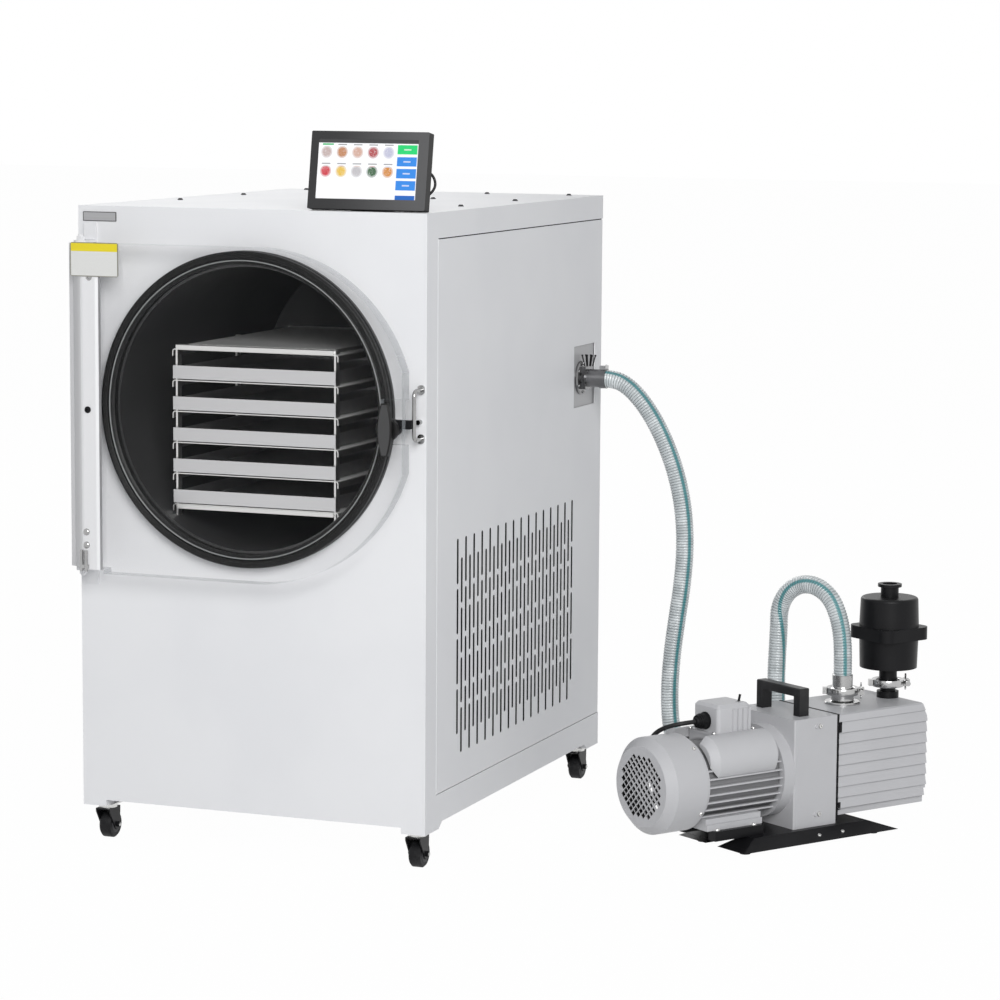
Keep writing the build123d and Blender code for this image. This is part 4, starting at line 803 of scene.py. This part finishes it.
SIDEWAYS = Vector((1, 0, 0))
foam_and_shade_black = moulded("foam_and_shade_black", (0.005, 0.005, 0.005), 0.8, 1500.0)
# black sheets behind the slot fields: painted shade for the dark inside of the case
blocks("slot_shade_sheets", cabinet_low, SIDEWAYS, "gasket", foam_and_shade_black, [
    ((left, 112, 80), (right, 680, 460)) for left, right in ((5.0, 8.0), (590.0, 593.0))
])
blocks("foam_strips", cabinet_low, SIDEWAYS, "gasket", foam_and_shade_black, [
    ((left, 45, foot), (right, 796, top))
    for left, right in ((2.2, 3.4), (596.6, 597.8))
    for foot, top in ((914, 921), (45, 50))
])
blocks("wrap_edge", cabinet_low, SIDEWAYS, "white_paint", white_coat, [
    ((598.2, 44.2, 46.5), (600.4, 45.4, 919)),
])

# ----------------------------------------------------------------------- vacuum chamber
# A rolled and welded barrel with a turned flange, coated dark inside. Its moulded rubber
# ring has a raised lip that the door presses on, with fine lines moulded round it.
DOOR_AXIS = Vector((0, -1, 0))
flange_low, flange_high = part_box("chamber_gasket")
chamber_middle = (flange_low + flange_high) / 2
ring_back = Vector((chamber_middle.x, flange_high.y, chamber_middle.z))
ring_r = (flange_high.x - flange_low.x) * 500


def chamber_coat():
    finish = Finish("chamber_coat")
    lines = finish.streaks((6.0, 260.0, 6.0))
    clouds = finish.noise(4.0).rise(0.3, 0.75)
    return finish.surface(
        Base_Color=finish.blend(clouds, (0.040, 0.040, 0.041), (0.060, 0.060, 0.061)),
        Metallic=0.25,
        Roughness=0.30 + 0.14 * lines,
        Normal=finish.bump(lines, 0.0003, 0.2),
    )


dress("vacuum_chamber", chamber_coat())

# the ring's section, as insets from its rim and heights off the flange
LIP_INSET = 14.8
RING_SECTION = (
    (21, 0), (21, 11), (17.5, 12.8), (16, 15.2), (15.4, 17.2), (LIP_INSET, 17.8), (14.2, 17.2),
    (13.2, 15.6), (11.8, 15.0), (10.8, 16.6), (10, 17.6), (8.4, 17.7), (8, 17.0), (7.6, 17.7),
    (5.6, 17.8), (5.2, 17.1), (4.8, 17.8), (3, 17.9), (0.8, 16.6), (0, 14.8), (0, 8), (1, 7.4),
    (1, 6.6), (0, 6), (0, 0), (21, 0),
)


def ring_rubber():
    finish = Finish("ring_rubber")
    x, _, z = finish.position()
    radius = ((x - chamber_middle.x) ** 2 + (z - chamber_middle.z) ** 2) ** 0.5
    # a painted highlight shows as a thin pale line on the crest of the inner lip
    highlight_crest = 1 - abs(radius - (ring_r - LIP_INSET) / 1000).rise(0.0004, 0.0015)
    grain = finish.noise(800.0)
    colour = finish.blend(grain, (0.006, 0.006, 0.006), (0.013, 0.013, 0.013))
    return finish.surface(
        Specular_IOR_Level=0.2,
        Base_Color=finish.blend(highlight_crest * 0.85, colour, (0.42, 0.43, 0.43)),
        Roughness=0.36 + 0.16 * grain,
        Normal=finish.bump(grain, 0.0001, 0.4),
    )


sealing_ring = Shape(ring_back, DOOR_AXIS)
sealing_ring.turned([(ring_r - inset, height) for inset, height in RING_SECTION], 144)
sealing_ring = sealing_ring.done("sealing_ring", "frame", "gasket", ring_rubber(), 60)
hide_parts("chamber_gasket")

# --------------------------------------------------------------------- shelves and trays
# Folded stainless shelves on upright straps, and five pressed aluminium trays whose plain
# fronts are brushed from side to side.


def brushed(name, colour, axis, rough=0.30, shine=1.0, flat_top=False):
    """Brushed metal, with its fine lines along one axis."""
    finish = Finish(name)
    scale = [900.0] * 3
    scale[axis] = 9.0
    lines = finish.streaks(tuple(scale), 4.0)
    if flat_top:
        # level faces are matt with fine scratches, and take the light of the room
        shine = 1 - 0.8 * finish.facing()[2].rise(0.5, 0.9)
    return finish.surface(
        Base_Color=finish.blend(lines, tuple(c * 0.85 for c in colour), colour),
        Metallic=shine,
        Roughness=rough + 0.2 * lines,
        Normal=finish.bump(lines, 0.0001, 0.25),
    )


dress("tray_rack", brushed("rack_steel", (0.74, 0.74, 0.73), 0, 0.26, flat_top=True))
tray_alloy = brushed("tray_alloy", (0.60, 0.60, 0.61), 0, 0.36)
for index in range(1, 6):
    dress(f"tray_{index}", tray_alloy)

# ------------------------------------------------------------------------- clear door
# A thick plate of clear cast plastic with a flame-polished edge, held in a painted stile
# that turns on two pins. It closes with a black knob and arm behind a bent keeper rod.


def clear_plate():
    finish = Finish("clear_plate")
    # the edge faces carry a painted highlight: a lighter grey, and far less clear than the faces
    edge = 1 - abs(finish.facing()[1]).rise(0.4, 0.8)
    streaks = finish.noise(3.0)
    return finish.surface(
        Base_Color=finish.blend(edge, (0.25, 0.26, 0.27), (0.40, 0.42, 0.44)),
        Roughness=0.04 + 0.03 * streaks,
        Alpha=0.012 + 0.50 * edge,
        IOR=1.49,
    )


dress("door_plate", clear_plate())


def stile_paint():
    finish = Finish("stile_paint")
    inward = finish.position()[0] - cabinet_low.x
    # silver paint, with painted shade towards the hinge side
    left = 1 - inward.rise(0.020, 0.036)
    lines = finish.streaks((700.0, 700.0, 6.0))
    seam = 1 - abs(inward - 0.0655).rise(0.0004, 0.0010)
    paint = finish.blend(left * 0.6, (0.80, 0.80, 0.81), (0.50, 0.50, 0.51))
    return finish.surface(
        Base_Color=finish.blend(seam * 0.8, paint, (0.25, 0.25, 0.26)),
        Metallic=0.15,
        Roughness=0.30 + 0.12 * lines,
        Normal=finish.bump(lines, 0.0001, 0.2),
    )


dress("door_hinge_strip", stile_paint())
dress("hinge_bracket", white_coat)


def bright_metal(name, colour, rough):
    """Turned or plated metal with fine marks."""
    finish = Finish(name)
    marks = finish.noise(420.0, 4.0)
    stain = finish.noise(30.0)
    darker = tuple(c * 0.8 for c in colour)
    return finish.surface(
        Base_Color=finish.blend(stain.rise(0.35, 0.75), colour, darker),
        Metallic=1.0,
        Roughness=rough + 0.16 * marks,
        Normal=finish.bump(marks, 0.00008, 0.3),
    )


def screws(name, body, material, heads):
    """Screws on one body, each by its origin, axis, radius and height."""
    shape = Shape()
    for head in heads:
        shape.screw(*head)
    shape.done(name, body, "zinc", material)


keeper_chrome = bright_metal("keeper_chrome", (0.42, 0.42, 0.42), 0.06)

# two domed screws, the lift-off clip and its posts at the foot, a flat screw half behind
# the label, and a socket screw at mid-height
stile_fixings = Shape()
for z in (425, 446):
    stile_fixings.at(by_cabinet(42, -60, z), DOOR_AXIS)
    stile_fixings.turned([(0, 0), (5.6, 0), (5.4, 1.0), (4.2, 2.4), (2.2, 3.2), (0, 3.4)], 20)
for x in (34, 42):
    stile_fixings.at(by_cabinet(x, -62.8, 383))
    stile_fixings.turned([(0, 0), (2.8, 0), (2.8, 34), (0, 34)], 16)
stile_fixings.screw(by_cabinet(50, -60, 850.5), DOOR_AXIS, 5.4, 1.2)
stile_fixings.at(by_cabinet(0, -60, 0), DOOR_AXIS, SIDEWAYS)
stile_fixings.block((34, 388, 0), (46, 394, 4.5))
stile_fixings = stile_fixings.done("stile_fixings", "door", "zinc", keeper_chrome)
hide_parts("hinge_screws")
screws("stile_sockets", "door", black_moulding, [(by_cabinet(46, -60, 641), DOOR_AXIS, 5.4, 3.0)])

GRIP_END = 5.5
GRIP_SWELL = 6.0
GRIP_REACH = 40.5
# the grip's flat front stands this far off the case's front, in metres
GRIP_FRONT = 0.069


def lozenge(inset):
    """The grip's outline, drawn in all round by inset mm."""
    right = [
        (GRIP_END + GRIP_SWELL * (1 - (k / 8) ** 2) - inset, (GRIP_REACH - inset) * k / 8)
        for k in range(-8, 9)
    ]
    return right + [(-x, y) for x, y in reversed(right)]


def knob_finish():
    """Black moulding whose flat front carries a painted grey highlight."""
    finish = Finish("knob_finish")
    front = (0 - finish.facing()[1]).rise(0.86, 0.97)
    highlight_crest = finish.position()[1] < cabinet_low.y - GRIP_FRONT
    grain = finish.noise(900.0)
    return finish.surface(
        # painted grey highlight on the grip's flat front
        Base_Color=finish.blend(front * highlight_crest, (0.003, 0.003, 0.003), (0.055, 0.055, 0.056)),
        Specular_IOR_Level=0.3,
        Roughness=0.34 + 0.12 * grain,
        Normal=finish.bump(grain, 0.0001, 0.3),
    )


door_knob = Shape(by_cabinet(558.5, -52.3, 632.5), DOOR_AXIS, SIDEWAYS)
door_knob.turned((
    (0, -13), (4.5, -13), (4.5, 0.4), (18.5, 0.4), (18.5, 6.5), (17, 8.4), (0, 9),
), 40)
door_knob.shell((lozenge(0.6), 8.6), (lozenge(0), 9.6), (lozenge(0), 16.2), (lozenge(1.8), 18.0))
door_knob = door_knob.done("door_knob", "latch", "black_plastic", knob_finish(), 25)
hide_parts("latch_knob")
dress("latch_arm", black_moulding)
dress("latch_keeper", keeper_chrome)


def edge_line(x, z, low, high, first, last):
    """1 along the edge of an upright plate, down to 0 at the last distance inwards."""
    return 1 - (x - low.x).least(high.x - x).least((z - low.z).least(high.z - z)).rise(first, last)


def label_print():
    """A plain field under a yellow band, with a thin dark edge."""
    finish = Finish("label_print")
    low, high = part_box("label_plate")
    x, _, z = finish.position()
    band = z.rise(high.z - 0.0142, high.z - 0.0136)
    rim = edge_line(x, z, low, high, 0.0011, 0.0017)
    grain = finish.noise(500.0)
    field = finish.blend(grain, (0.70, 0.70, 0.68), (0.77, 0.77, 0.75))
    colour = finish.blend(band, field, (0.80, 0.66, 0.02))
    return finish.surface(
        Base_Color=finish.blend(rim * 0.9, colour, (0.20, 0.19, 0.15)),
        Roughness=0.30 + 0.1 * grain,
    )


def rounded(low, high, radius):
    """A rectangle's outline with round corners."""
    (x0, y0), (x1, y1) = low, high
    outline = []
    for x, y, first in (
        (x1 - radius, y1 - radius, 0), (x0 + radius, y1 - radius, 90),
        (x0 + radius, y0 + radius, 180), (x1 - radius, y0 + radius, 270),
    ):
        for step in range(5):
            turn = radians(first + 22.5 * step)
            outline.append((x + radius * cos(turn), y + radius * sin(turn)))
    return outline


hinge_label = Shape(by_cabinet(0, -60, 0), DOOR_AXIS, SIDEWAYS)
hinge_label.prism(rounded((18, 851.5), (102, 905), 3.2), 0, 1.4)
hinge_label = hinge_label.done("hinge_label", "door", "grey_plate", label_print())
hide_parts("label_plate")


def badge_print():
    """Satin grey plate with a thin dark edge line."""
    finish = Finish("badge_print")
    low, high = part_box("badge_plate")
    x, _, z = finish.position()
    rim = edge_line(x, z, low, high, 0.0009, 0.0014)
    lines = finish.streaks((8.0, 700.0, 700.0))
    satin = finish.blend(lines, (0.36, 0.36, 0.37), (0.44, 0.44, 0.45))
    return finish.surface(
        Base_Color=finish.blend(rim, satin, (0.06, 0.06, 0.06)),
        Metallic=0.4,
        Roughness=0.32 + 0.1 * lines,
    )


dress("badge_plate", badge_print())

# ------------------------------------------------------------------------ touch panel
# A seven-inch touch panel in a black moulded frame, on a bent steel bracket. Its screen
# shows a plain menu: round tiles on white, and a column of buttons.


def frame_plastic():
    finish = Finish("frame_plastic")
    low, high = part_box("tablet_housing")
    front = (0 - finish.facing()[1]).rise(0.5, 0.9)
    # the front face gets a painted sheen that grows lighter towards the right; the other faces
    # stay black
    sheen = (finish.position()[0] - low.x) / (high.x - low.x)
    grain = finish.noise(1200.0)
    face = finish.blend(sheen.rise(0.1, 1.0), (0.034, 0.034, 0.035), (0.105, 0.105, 0.107))
    return finish.surface(
        Base_Color=finish.blend(front, (0.006, 0.006, 0.006), face),
        Specular_IOR_Level=0.25,
        Roughness=0.42 + 0.12 * grain,
        Normal=finish.bump(grain, 0.0001, 0.3),
    )


dress("tablet_housing", frame_plastic())

# ten tiles in two rows; spots on the screen are shares of its width and height
TILE_COLOURS = (
    (0.52, 0.40, 0.38), (0.50, 0.20, 0.07), (0.62, 0.38, 0.30), (0.42, 0.06, 0.07),
    (0.50, 0.50, 0.64), (0.60, 0.03, 0.05), (0.78, 0.50, 0.05), (0.50, 0.48, 0.50),
    (0.02, 0.10, 0.03), (0.62, 0.24, 0.04),
)
TILES_LEFT, TILES_RIGHT, TILES_TOP = 0.006, 0.786, 0.12
TILE_W, TILE_H = 0.156, 0.32
SCREEN_SHAPE = 1.83
SECOND_ROW = 0.46
GREEN, BLUE, NAVY = (0.01, 0.62, 0.16), (0.03, 0.24, 0.74), (0.01, 0.12, 0.48)
BUTTONS = (
    (0.085, 0.240, GREEN), (0.285, 0.440, BLUE), (0.480, 0.640, BLUE), (0.680, 0.840, BLUE),
    (0.925, 1.1, NAVY),
)


def inside(value, first, last, soft=0.004):
    """1 between two values, with soft ends."""
    return value.rise(first - soft, first + soft) * (1 - value.rise(last - soft, last + soft))


def menu_screen():
    """The lit menu: tiles with short grey captions, a top bar, and a column of buttons."""
    finish = Finish("menu_screen")
    low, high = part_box("tablet_screen")
    x, _, z = finish.position()
    u = (x - low.x) / (high.x - low.x)
    v = (high.z - z) / (high.z - low.z)
    column = (u - TILES_LEFT).wrap(TILE_W) / TILE_W
    row = (v - TILES_TOP).wrap(TILE_H) / TILE_H
    across = inside(u, TILES_LEFT, TILES_RIGHT)
    field = across * inside(v, 0.10, 0.76)
    sideways = (column - 0.5) * TILE_W * SCREEN_SHAPE
    reach = (sideways ** 2 + ((row - 0.30) * TILE_H) ** 2) ** 0.5
    tile = (1 - reach.rise(0.098, 0.106)) * field
    middle = (1 - reach.rise(0.066, 0.088)) * field
    number = ((u - TILES_LEFT) / TILE_W).floor() + 5 * (v > SECOND_ROW)
    stops = [(k / 10, colour) for k, colour in enumerate(TILE_COLOURS)]
    tint = finish.node("ValToRGB", {"stops": stops}, Fac=(number + 0.5) / 10)
    speckle = finish.noise(700.0, 2.0)
    paler = finish.blend(0.45, tint, (0.80, 0.79, 0.80))
    colour = finish.blend(tile * (0.55 + 0.45 * speckle), (0.95, 0.95, 0.96), paler)
    colour = finish.blend(middle * speckle.rise(0.28, 0.5), colour, tint)
    caption = inside(row, 0.88, 0.94, 0.01) * inside(column, 0.22, 0.78, 0.02)
    caption = caption * inside(v, 0.07, 0.50) * across
    colour = finish.blend(caption * 0.75, colour, (0.10, 0.10, 0.11))
    heading = inside(u, 0.04, 0.15) * inside(v, 0.075, 0.10)
    colour = finish.blend(heading, colour, (0.01, 0.46, 0.13))
    buttons = inside(u, 0.795, 0.992)
    for top, foot, shade in BUTTONS:
        colour = finish.blend(buttons * inside(v, top, foot), colour, shade)
        if foot < 1:
            centre = (top + foot) / 2
            bar = inside(u, 0.86, 0.93) * inside(v, centre - 0.012, centre + 0.012)
            colour = finish.blend(bar * 0.6, colour, (0.9, 0.9, 0.9))
    colour = finish.blend(1 - v.rise(0.060, 0.068), colour, (0.040, 0.040, 0.042))
    return finish.surface(
        Base_Color=colour,
        Roughness=0.16 + 0.05 * speckle,
        Emission_Color=colour,
        Emission_Strength=0.10,
    )


dress("tablet_screen", menu_screen())
black_coat = moulded("black_coat", (0.007, 0.007, 0.008), 0.35)
dress("tablet_stand", black_coat)

# its short lead loops out beside the panel and goes down through the lid behind it
PANEL_LEAD_R = 0.0021
PANEL_LEAD = (
    (583, 38, 1021), (583, 50, 1020), (587, 54, 1015), (591, 54, 1006), (591, 52, 997),
    (585, 49, 988), (572, 48, 979), (556, 49, 974), (545, 50, 968), (543, 50, 960.5),
)
rubber_lead("panel_lead", [by_cabinet(*spot) for spot in PANEL_LEAD], PANEL_LEAD_R, "tablet_cable")

# ------------------------------------------------------------------------- vacuum port
# A brushed steel plate set in the side sheet, with a turned flange, its ring of socket
# screws, and a bolted band clamp that grips the hose on its spigot.
port = by_cabinet(597, 700, 650)
PORT_AXIS = Vector((1, 0, 0))
dress("port_plate", brushed("port_steel", (0.44, 0.44, 0.45), 1, 0.34, 0.3))
port_metal = bright_metal("port_metal", (0.24, 0.24, 0.245), 0.12)
dress("port_adapter", port_metal)

PORT_SCREWS = 6
SCREW_CIRCLE = 0.025
port_heads = []
for k in range(PORT_SCREWS):
    turn = radians(30 + 360 / PORT_SCREWS * k)
    spot = port + Vector((0.005, SCREW_CIRCLE * cos(turn), SCREW_CIRCLE * sin(turn)))
    port_heads.append((spot, PORT_AXIS, 2.6, 2.2))
screws("port_screws", "frame", port_metal, port_heads)
# black clamp bolts that stand up in a fan over the flange
BOLT_FAN = ((7, -14), (10, -8), (13, -3), (16, 3), (19, 8), (22, 13))
clamp_bolts = Shape()
for k, (x, lean) in enumerate(BOLT_FAN):
    direction = Vector((sin(radians(lean)), 0.1 * (k % 2), cos(radians(lean))))
    clamp_bolts.at(port + Vector((x / 1000, 0.004 * (k % 2), 0.024)), direction)
    clamp_bolts.turned([(0, -4), (1.1, -4), (1.1, 13), (1.6, 13.5), (1.6, 16), (0, 16.4)], 10)
clamp_bolts.done("clamp_bolts", "frame", "zinc", black_moulding)

# ----------------------------------------------------------------------------- castors
# Twin-cheek swivel castors: a zinc top plate with its ball race, a black pressed fork, and
# a solid tyre moulded on a grey hub.


def worn_black(name, dark, pale, wear, worn, grain, specular, rough, depth, strength=0.4):
    """Black rubber or plastic with a fine grain, worn paler in patches."""
    finish = Finish(name)
    patches = finish.noise(wear)
    texture = finish.noise(grain)
    return finish.surface(
        Base_Color=finish.blend(patches.rise(*worn), dark, pale),
        Specular_IOR_Level=specular,
        Roughness=rough[0] + rough[1] * texture,
        Normal=finish.bump(texture, depth, strength),
    )


def on_both_sides(name, body, slot, material, middle, profile, sides):
    """The same turned piece on a wheel's left and right."""
    pair = Shape()
    for side in (-1, 1):
        pair.at(middle, Vector((side, 0, 0)))
        pair.turned(profile, sides)
    pair.done(name, body, slot, material)


castor_tyre = worn_black(
    "castor_tyre", (0.006, 0.006, 0.007), (0.020, 0.020, 0.021), wear=60.0, worn=(0.4, 0.7),
    grain=500.0, specular=0.2, rough=(0.42, 0.2), depth=0.0002, strength=0.5,
)
plated = bright_metal("bright_plate", (0.66, 0.66, 0.65), 0.16)
dress("castor_plates", plated)
fork_black = moulded("fork_black", (0.007, 0.007, 0.008), 0.26)
hub_grey = moulded("hub_grey", (0.045, 0.045, 0.047), 0.40)
HUB_RING = ((13.6, 9.7), (13.6, 10.3), (12.6, 10.6), (5.0, 10.6), (5.0, 9.7), (13.6, 9.7))
AXLE_END = ((3.1, 15.0), (3.1, 17.6), (2.2, 18.2), (0, 18.2))
for index in range(1, 5):
    dress(f"castor_fork_{index}", fork_black)
    dress(f"castor_wheel_{index}", castor_tyre)
    wheel, middle = f"castor_wheel_{index}", middle_of(f"castor_wheel_{index}")
    on_both_sides(f"castor_hub_{index}", wheel, "tyre", hub_grey, middle, HUB_RING, 32)
    fork = f"castor_swivel_{index}"
    on_both_sides(f"axle_ends_{index}", fork, "zinc", plated, middle, AXLE_END, 12)

# ----------------------------------------------------------------- refrigeration unit
# The compressor and the condenser with its fan, painted black, behind the side slots.
dress("refrigeration_unit", black_coat)
dress("condenser_fan", black_moulding)

# --------------------------------------------------------------------------- pump base
# Two pressed steel channels with a deck between them, painted black, on rubber feet. The
# feet's bolts show along the near channel.
dress("pump_base", moulded("base_paint", (0.006, 0.006, 0.007), 0.28, 300.0, 0.00012))
dress("pump_feet", moulded("foot_rubber", (0.014, 0.014, 0.015), 0.6))
slope_axis = (-aside * 16 + UP * 26).normalized()
screws("base_bolts", "frame", plated, [
    *[(by_pump(u, -100.0, 13.4), slope_axis, 3.4, 2.6) for u in (-12, 38)],
    *[(by_pump(u, v, 38), UP, 5.0, 3.0) for u in (-196, -120) for v in (-62, 18)],
])

# --------------------------------------------------------------------------- pump motor
# Cast alloy motor in light grey paint: a finned barrel, a pressed fan cover with a pierced
# face, two capacitor covers with rolled rims, and a ribbed terminal box with its toggle.
AXIS_Z = 111
# the fins' root circle, and where the barrel ends behind the fan, in metres
FIN_ROOT = 0.0620
BARREL_END = -0.2275
PUMP_GREY = (0.54, 0.54, 0.555)
SHADOW = (0.012, 0.012, 0.012)


def casting_paint(name, colour, depth=0.0002, part=None):
    """Sprayed paint on a casting, with painted shade on what faces down or inward."""
    finish = Finish(name)
    cast = finish.noise(320.0, 4.0)
    patches = finish.noise(9.0)
    paint = finish.blend(patches.rise(0.3, 0.8), colour, tuple(c * 0.94 for c in colour))
    nx, ny, nz = finish.facing()
    x, y, z = finish.position()
    x, y, z = x - pump_middle.x, y - pump_middle.y, z - AXIS_Z / 1000
    across = x * aside.x + y * aside.y
    if part == "ribs":
        # painted shade on the ribs' undersides
        paint = finish.blend((0 - nz).rise(0.1, 0.6), paint, tuple(c * 0.40 for c in colour))
    if part == "fins":
        travel = x * along.x + y * along.y
        # painted shade in the grooves between the fins
        groove = 1 - ((across ** 2 + z ** 2) ** 0.5).rise(FIN_ROOT, FIN_ROOT + 0.006)
        paint = finish.blend(groove * 0.75, paint, tuple(c * 0.25 for c in colour))
        # painted shadow on the barrel inside the fan cover
        paint = finish.blend(travel < BARREL_END, paint, SHADOW)
    if part == "cover":
        turned_back = nx * along.x + ny * along.y
        inward = (nx * aside.x + ny * aside.y) * across + nz * z
        inside_face = (0 - inward).rise(0.010, 0.030) + turned_back.rise(0.4, 0.7)
        # painted shade on the inside of the fan cover
        paint = finish.blend(inside_face.least(1.0), paint, SHADOW)
    return finish.surface(
        Base_Color=paint,
        Roughness=0.40 + 0.14 * cast,
        Coat_Weight=0.10,
        Coat_Roughness=0.25,
        Normal=finish.bump(cast, depth, 0.3),
    )


pump_grey = casting_paint("pump_grey", PUMP_GREY)
box_grey = casting_paint("box_grey", (0.57, 0.57, 0.585), 0.0001)
dress("pump_housing", pump_grey)
dress("motor_body", casting_paint("motor_grey", PUMP_GREY, part="fins"))
dress("fan_cover", casting_paint("cover_grey", PUMP_GREY, part="cover"))
dress("oil_case", casting_paint("case_grey", PUMP_GREY, part="ribs"))
for name in ("capacitor_covers", "terminal_box"):
    dress(name, box_grey)
for name in ("motor_fan", "cord_gland", "toggle_lever", "power_plug"):
    dress(name, black_moulding)

# four screws round the fan cover's rim, and four on the terminal box
RIM_R = 79
motor_heads = []
for degrees in (52, 128, -30, -150):
    turn = radians(degrees)
    outward = (aside * cos(turn) + UP * sin(turn)).normalized()
    spot = by_pump(-235, RIM_R * cos(turn), AXIS_Z + RIM_R * sin(turn))
    motor_heads.append((spot, outward, 3.6, 2.6))
motor_heads += [(by_pump(u, v, 188), UP, 3.4, 3.0) for u in (-179, -97) for v in (-30, 30)]
screws("motor_screws", "frame", plated, motor_heads)

# rings under the gland's nut
gland_rings = Shape(by_pump(-172, 0, 205), -along)
gland_rings.turned([(14.2, 0), (14.2, 2.2), (13.0, 2.8), (3.8, 2.8)], 32)
for k in range(3):
    z = 10.5 + 3.2 * k
    ring = ((11.2, z), (12.4, z + 0.4), (12.2, z + 1.7), (10.8, z + 2.1))
    gland_rings.turned([(radius - k, height) for radius, height in ring], 32)
gland_rings.done("gland_rings", "frame", "black_plastic", black_moulding)

# ------------------------------------------------------------- pump block and oil case
# Painted castings bolted together over a black joint. The block's side covers are held by
# two screws; the oil case is ribbed along its length.
blocks("case_joint", by_pump(0, 0, 0), along, "gasket", black_moulding, [
    ((45.6, -74.6, 26), (49.4, 74.6, 203.6)),
    ((49.0, -75.9, 172), (54.0, -74.2, 190)),
    ((49.0, -75.9, 44), (54.0, -74.2, 56)),
])
screws("block_screws", "frame", plated, [
    (by_pump(8, side * 75, z), aside * side, 4.2, 2.4) for side in (-1, 1) for z in (42, 188)
])
blocks("cover_seam", by_pump(0, 0, 0), along, "pump_paint", box_grey, [
    ((-40.2, -75.25, 26), (-39.6, -74.5, 199)),
])
dress("carry_handle", worn_black(
    "grip_black", (0.010, 0.010, 0.011), (0.022, 0.022, 0.023), wear=40.0, worn=(0.45, 0.8),
    grain=700.0, specular=0.3, rough=(0.30, 0.14), depth=0.00015,
))

# ------------------------------------------------------------------------ pipe fittings
# Bright turned stub and flanges, joined by hinged clamps with a swing bolt and wing nut.
# A perforated worm-drive band holds the hose on the stub and on the port.
EXHAUST_U = 221
BAND_R = 15.8
CUFF_R = 15.5


def clamp(shape, middle, turn):
    """A hinged clamp ring round two flanges, closed by a swing bolt and a wing nut."""
    out = along * cos(radians(turn)) + aside * sin(radians(turn))
    shape.at(middle, UP, out)
    shape.turned((
        (20.3, -4.2), (24.5, -6), (26.5, -6), (27, -5), (27, 5), (26.5, 6), (24.5, 6), (20.3, 4.2),
        (20.3, -4.2),
    ), 48)
    # lugs of the two halves, and the hinge opposite them
    for near, far in ((-8, -1.2), (1.2, 8)):
        shape.block((24, near, -5.6), (36, far, 5.6))
    shape.block((-33, -5, -5.4), (-25, 5, 5.4))
    cross = UP.cross(out)
    bolt = middle + out * 0.031
    shape.at(bolt - cross * 0.015, cross)
    shape.turned([(0, -3), (4.4, -3), (4.4, 0), (2.3, 0), (2.3, 32), (0, 32)], 12)
    shape.at(bolt + cross * 0.012, cross, UP)
    shape.turned([(5, 0), (5, 5), (3.6, 8), (0, 8)], 16)
    for side in (-1, 1):
        wing = [(side * 3, 1), (side * 12, 3.5), (side * 14, 7.5), (side * 11, 9.5), (side * 3, 7)]
        shape.at(bolt + cross * 0.012 - out * 0.0012, out, UP)
        shape.prism(wing if side > 0 else wing[::-1], 0, 2.4)


def worm_band(shape, middle, axis, out, radius):
    """A band with a worm screw in its raised housing."""
    shape.at(middle, axis, out)
    outer = radius + 0.9
    shape.turned([(radius, -6), (outer, -6), (outer, 6), (radius, 6), (radius, -6)], 48)
    shape.block((radius, -9, -5.5), (radius + 6.5, 7, 5.5))
    cross = Vector(axis).cross(out).normalized()
    shape.at(middle + Vector(out) * (radius + 3.6) / 1000 - cross * 0.009, -cross)
    shape.turned([(3.6, 0), (3.9, 4.5), (1.2, 4.5), (1.2, 3.2), (0, 3.2)], 6)


def cuff(name, origin, axis, outer, length, lip, material):
    """A short sleeve over the hose's end, with its far edge turned in."""
    sleeve = Shape(origin, axis)
    sleeve.turned([(CUFF_R, 0), (outer, 0), (outer, length), (CUFF_R, lip), (CUFF_R, 0)], 48)
    sleeve.done(name, "frame", "alloy", material)


fittings = Shape(by_pump(INLET_U, 0, 0))
fittings.turned((
    (0, 203), (30, 203), (30, 205.6), (28.6, 207), (21.5, 207), (19.2, 209), (18.6, 214),
    (20, 219.5), (20, 228.5), (17, 230), (15.6, 234), (0, 234),
), 48)
clamp(fittings, by_pump(INLET_U, 0, 224), -38)
worm_band(fittings, by_pump(INLET_U, 0, 244), UP, along * 0.2 + aside * 0.98, BAND_R)
clamp(fittings, by_pump(EXHAUST_U, 0, 228), -30)
worm_band(fittings, port + PORT_AXIS * 0.043, PORT_AXIS, UP, BAND_R)
pipe_bright = bright_metal("pipe_bright", (0.50, 0.50, 0.50), 0.08)
pipe_set = fittings.done("pipe_set", "frame", "alloy", pipe_bright)
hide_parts("pipe_fittings")
cuff_steel = bright_metal("cuff_steel", (0.42, 0.42, 0.42), 0.2)
cuff("inlet_cuff", by_pump(INLET_U, 0, 232), UP, 16.9, 19, 19.6, cuff_steel)
cuff("port_cuff", port + PORT_AXIS * 0.037, PORT_AXIS, 17.2, 12, 12.4, port_metal)

# --------------------------------------------------------------------------- mist filter
# Two black moulded cups bolted together through a square belt, on the exhaust stub, with
# an open flanged neck on top.
dress("mist_filter", worn_black(
    "cup_plastic", (0.006, 0.006, 0.007), (0.010, 0.010, 0.011), wear=12.0, worn=(0.3, 0.8),
    grain=900.0, specular=0.16, rough=(0.30, 0.14), depth=0.0001,
))
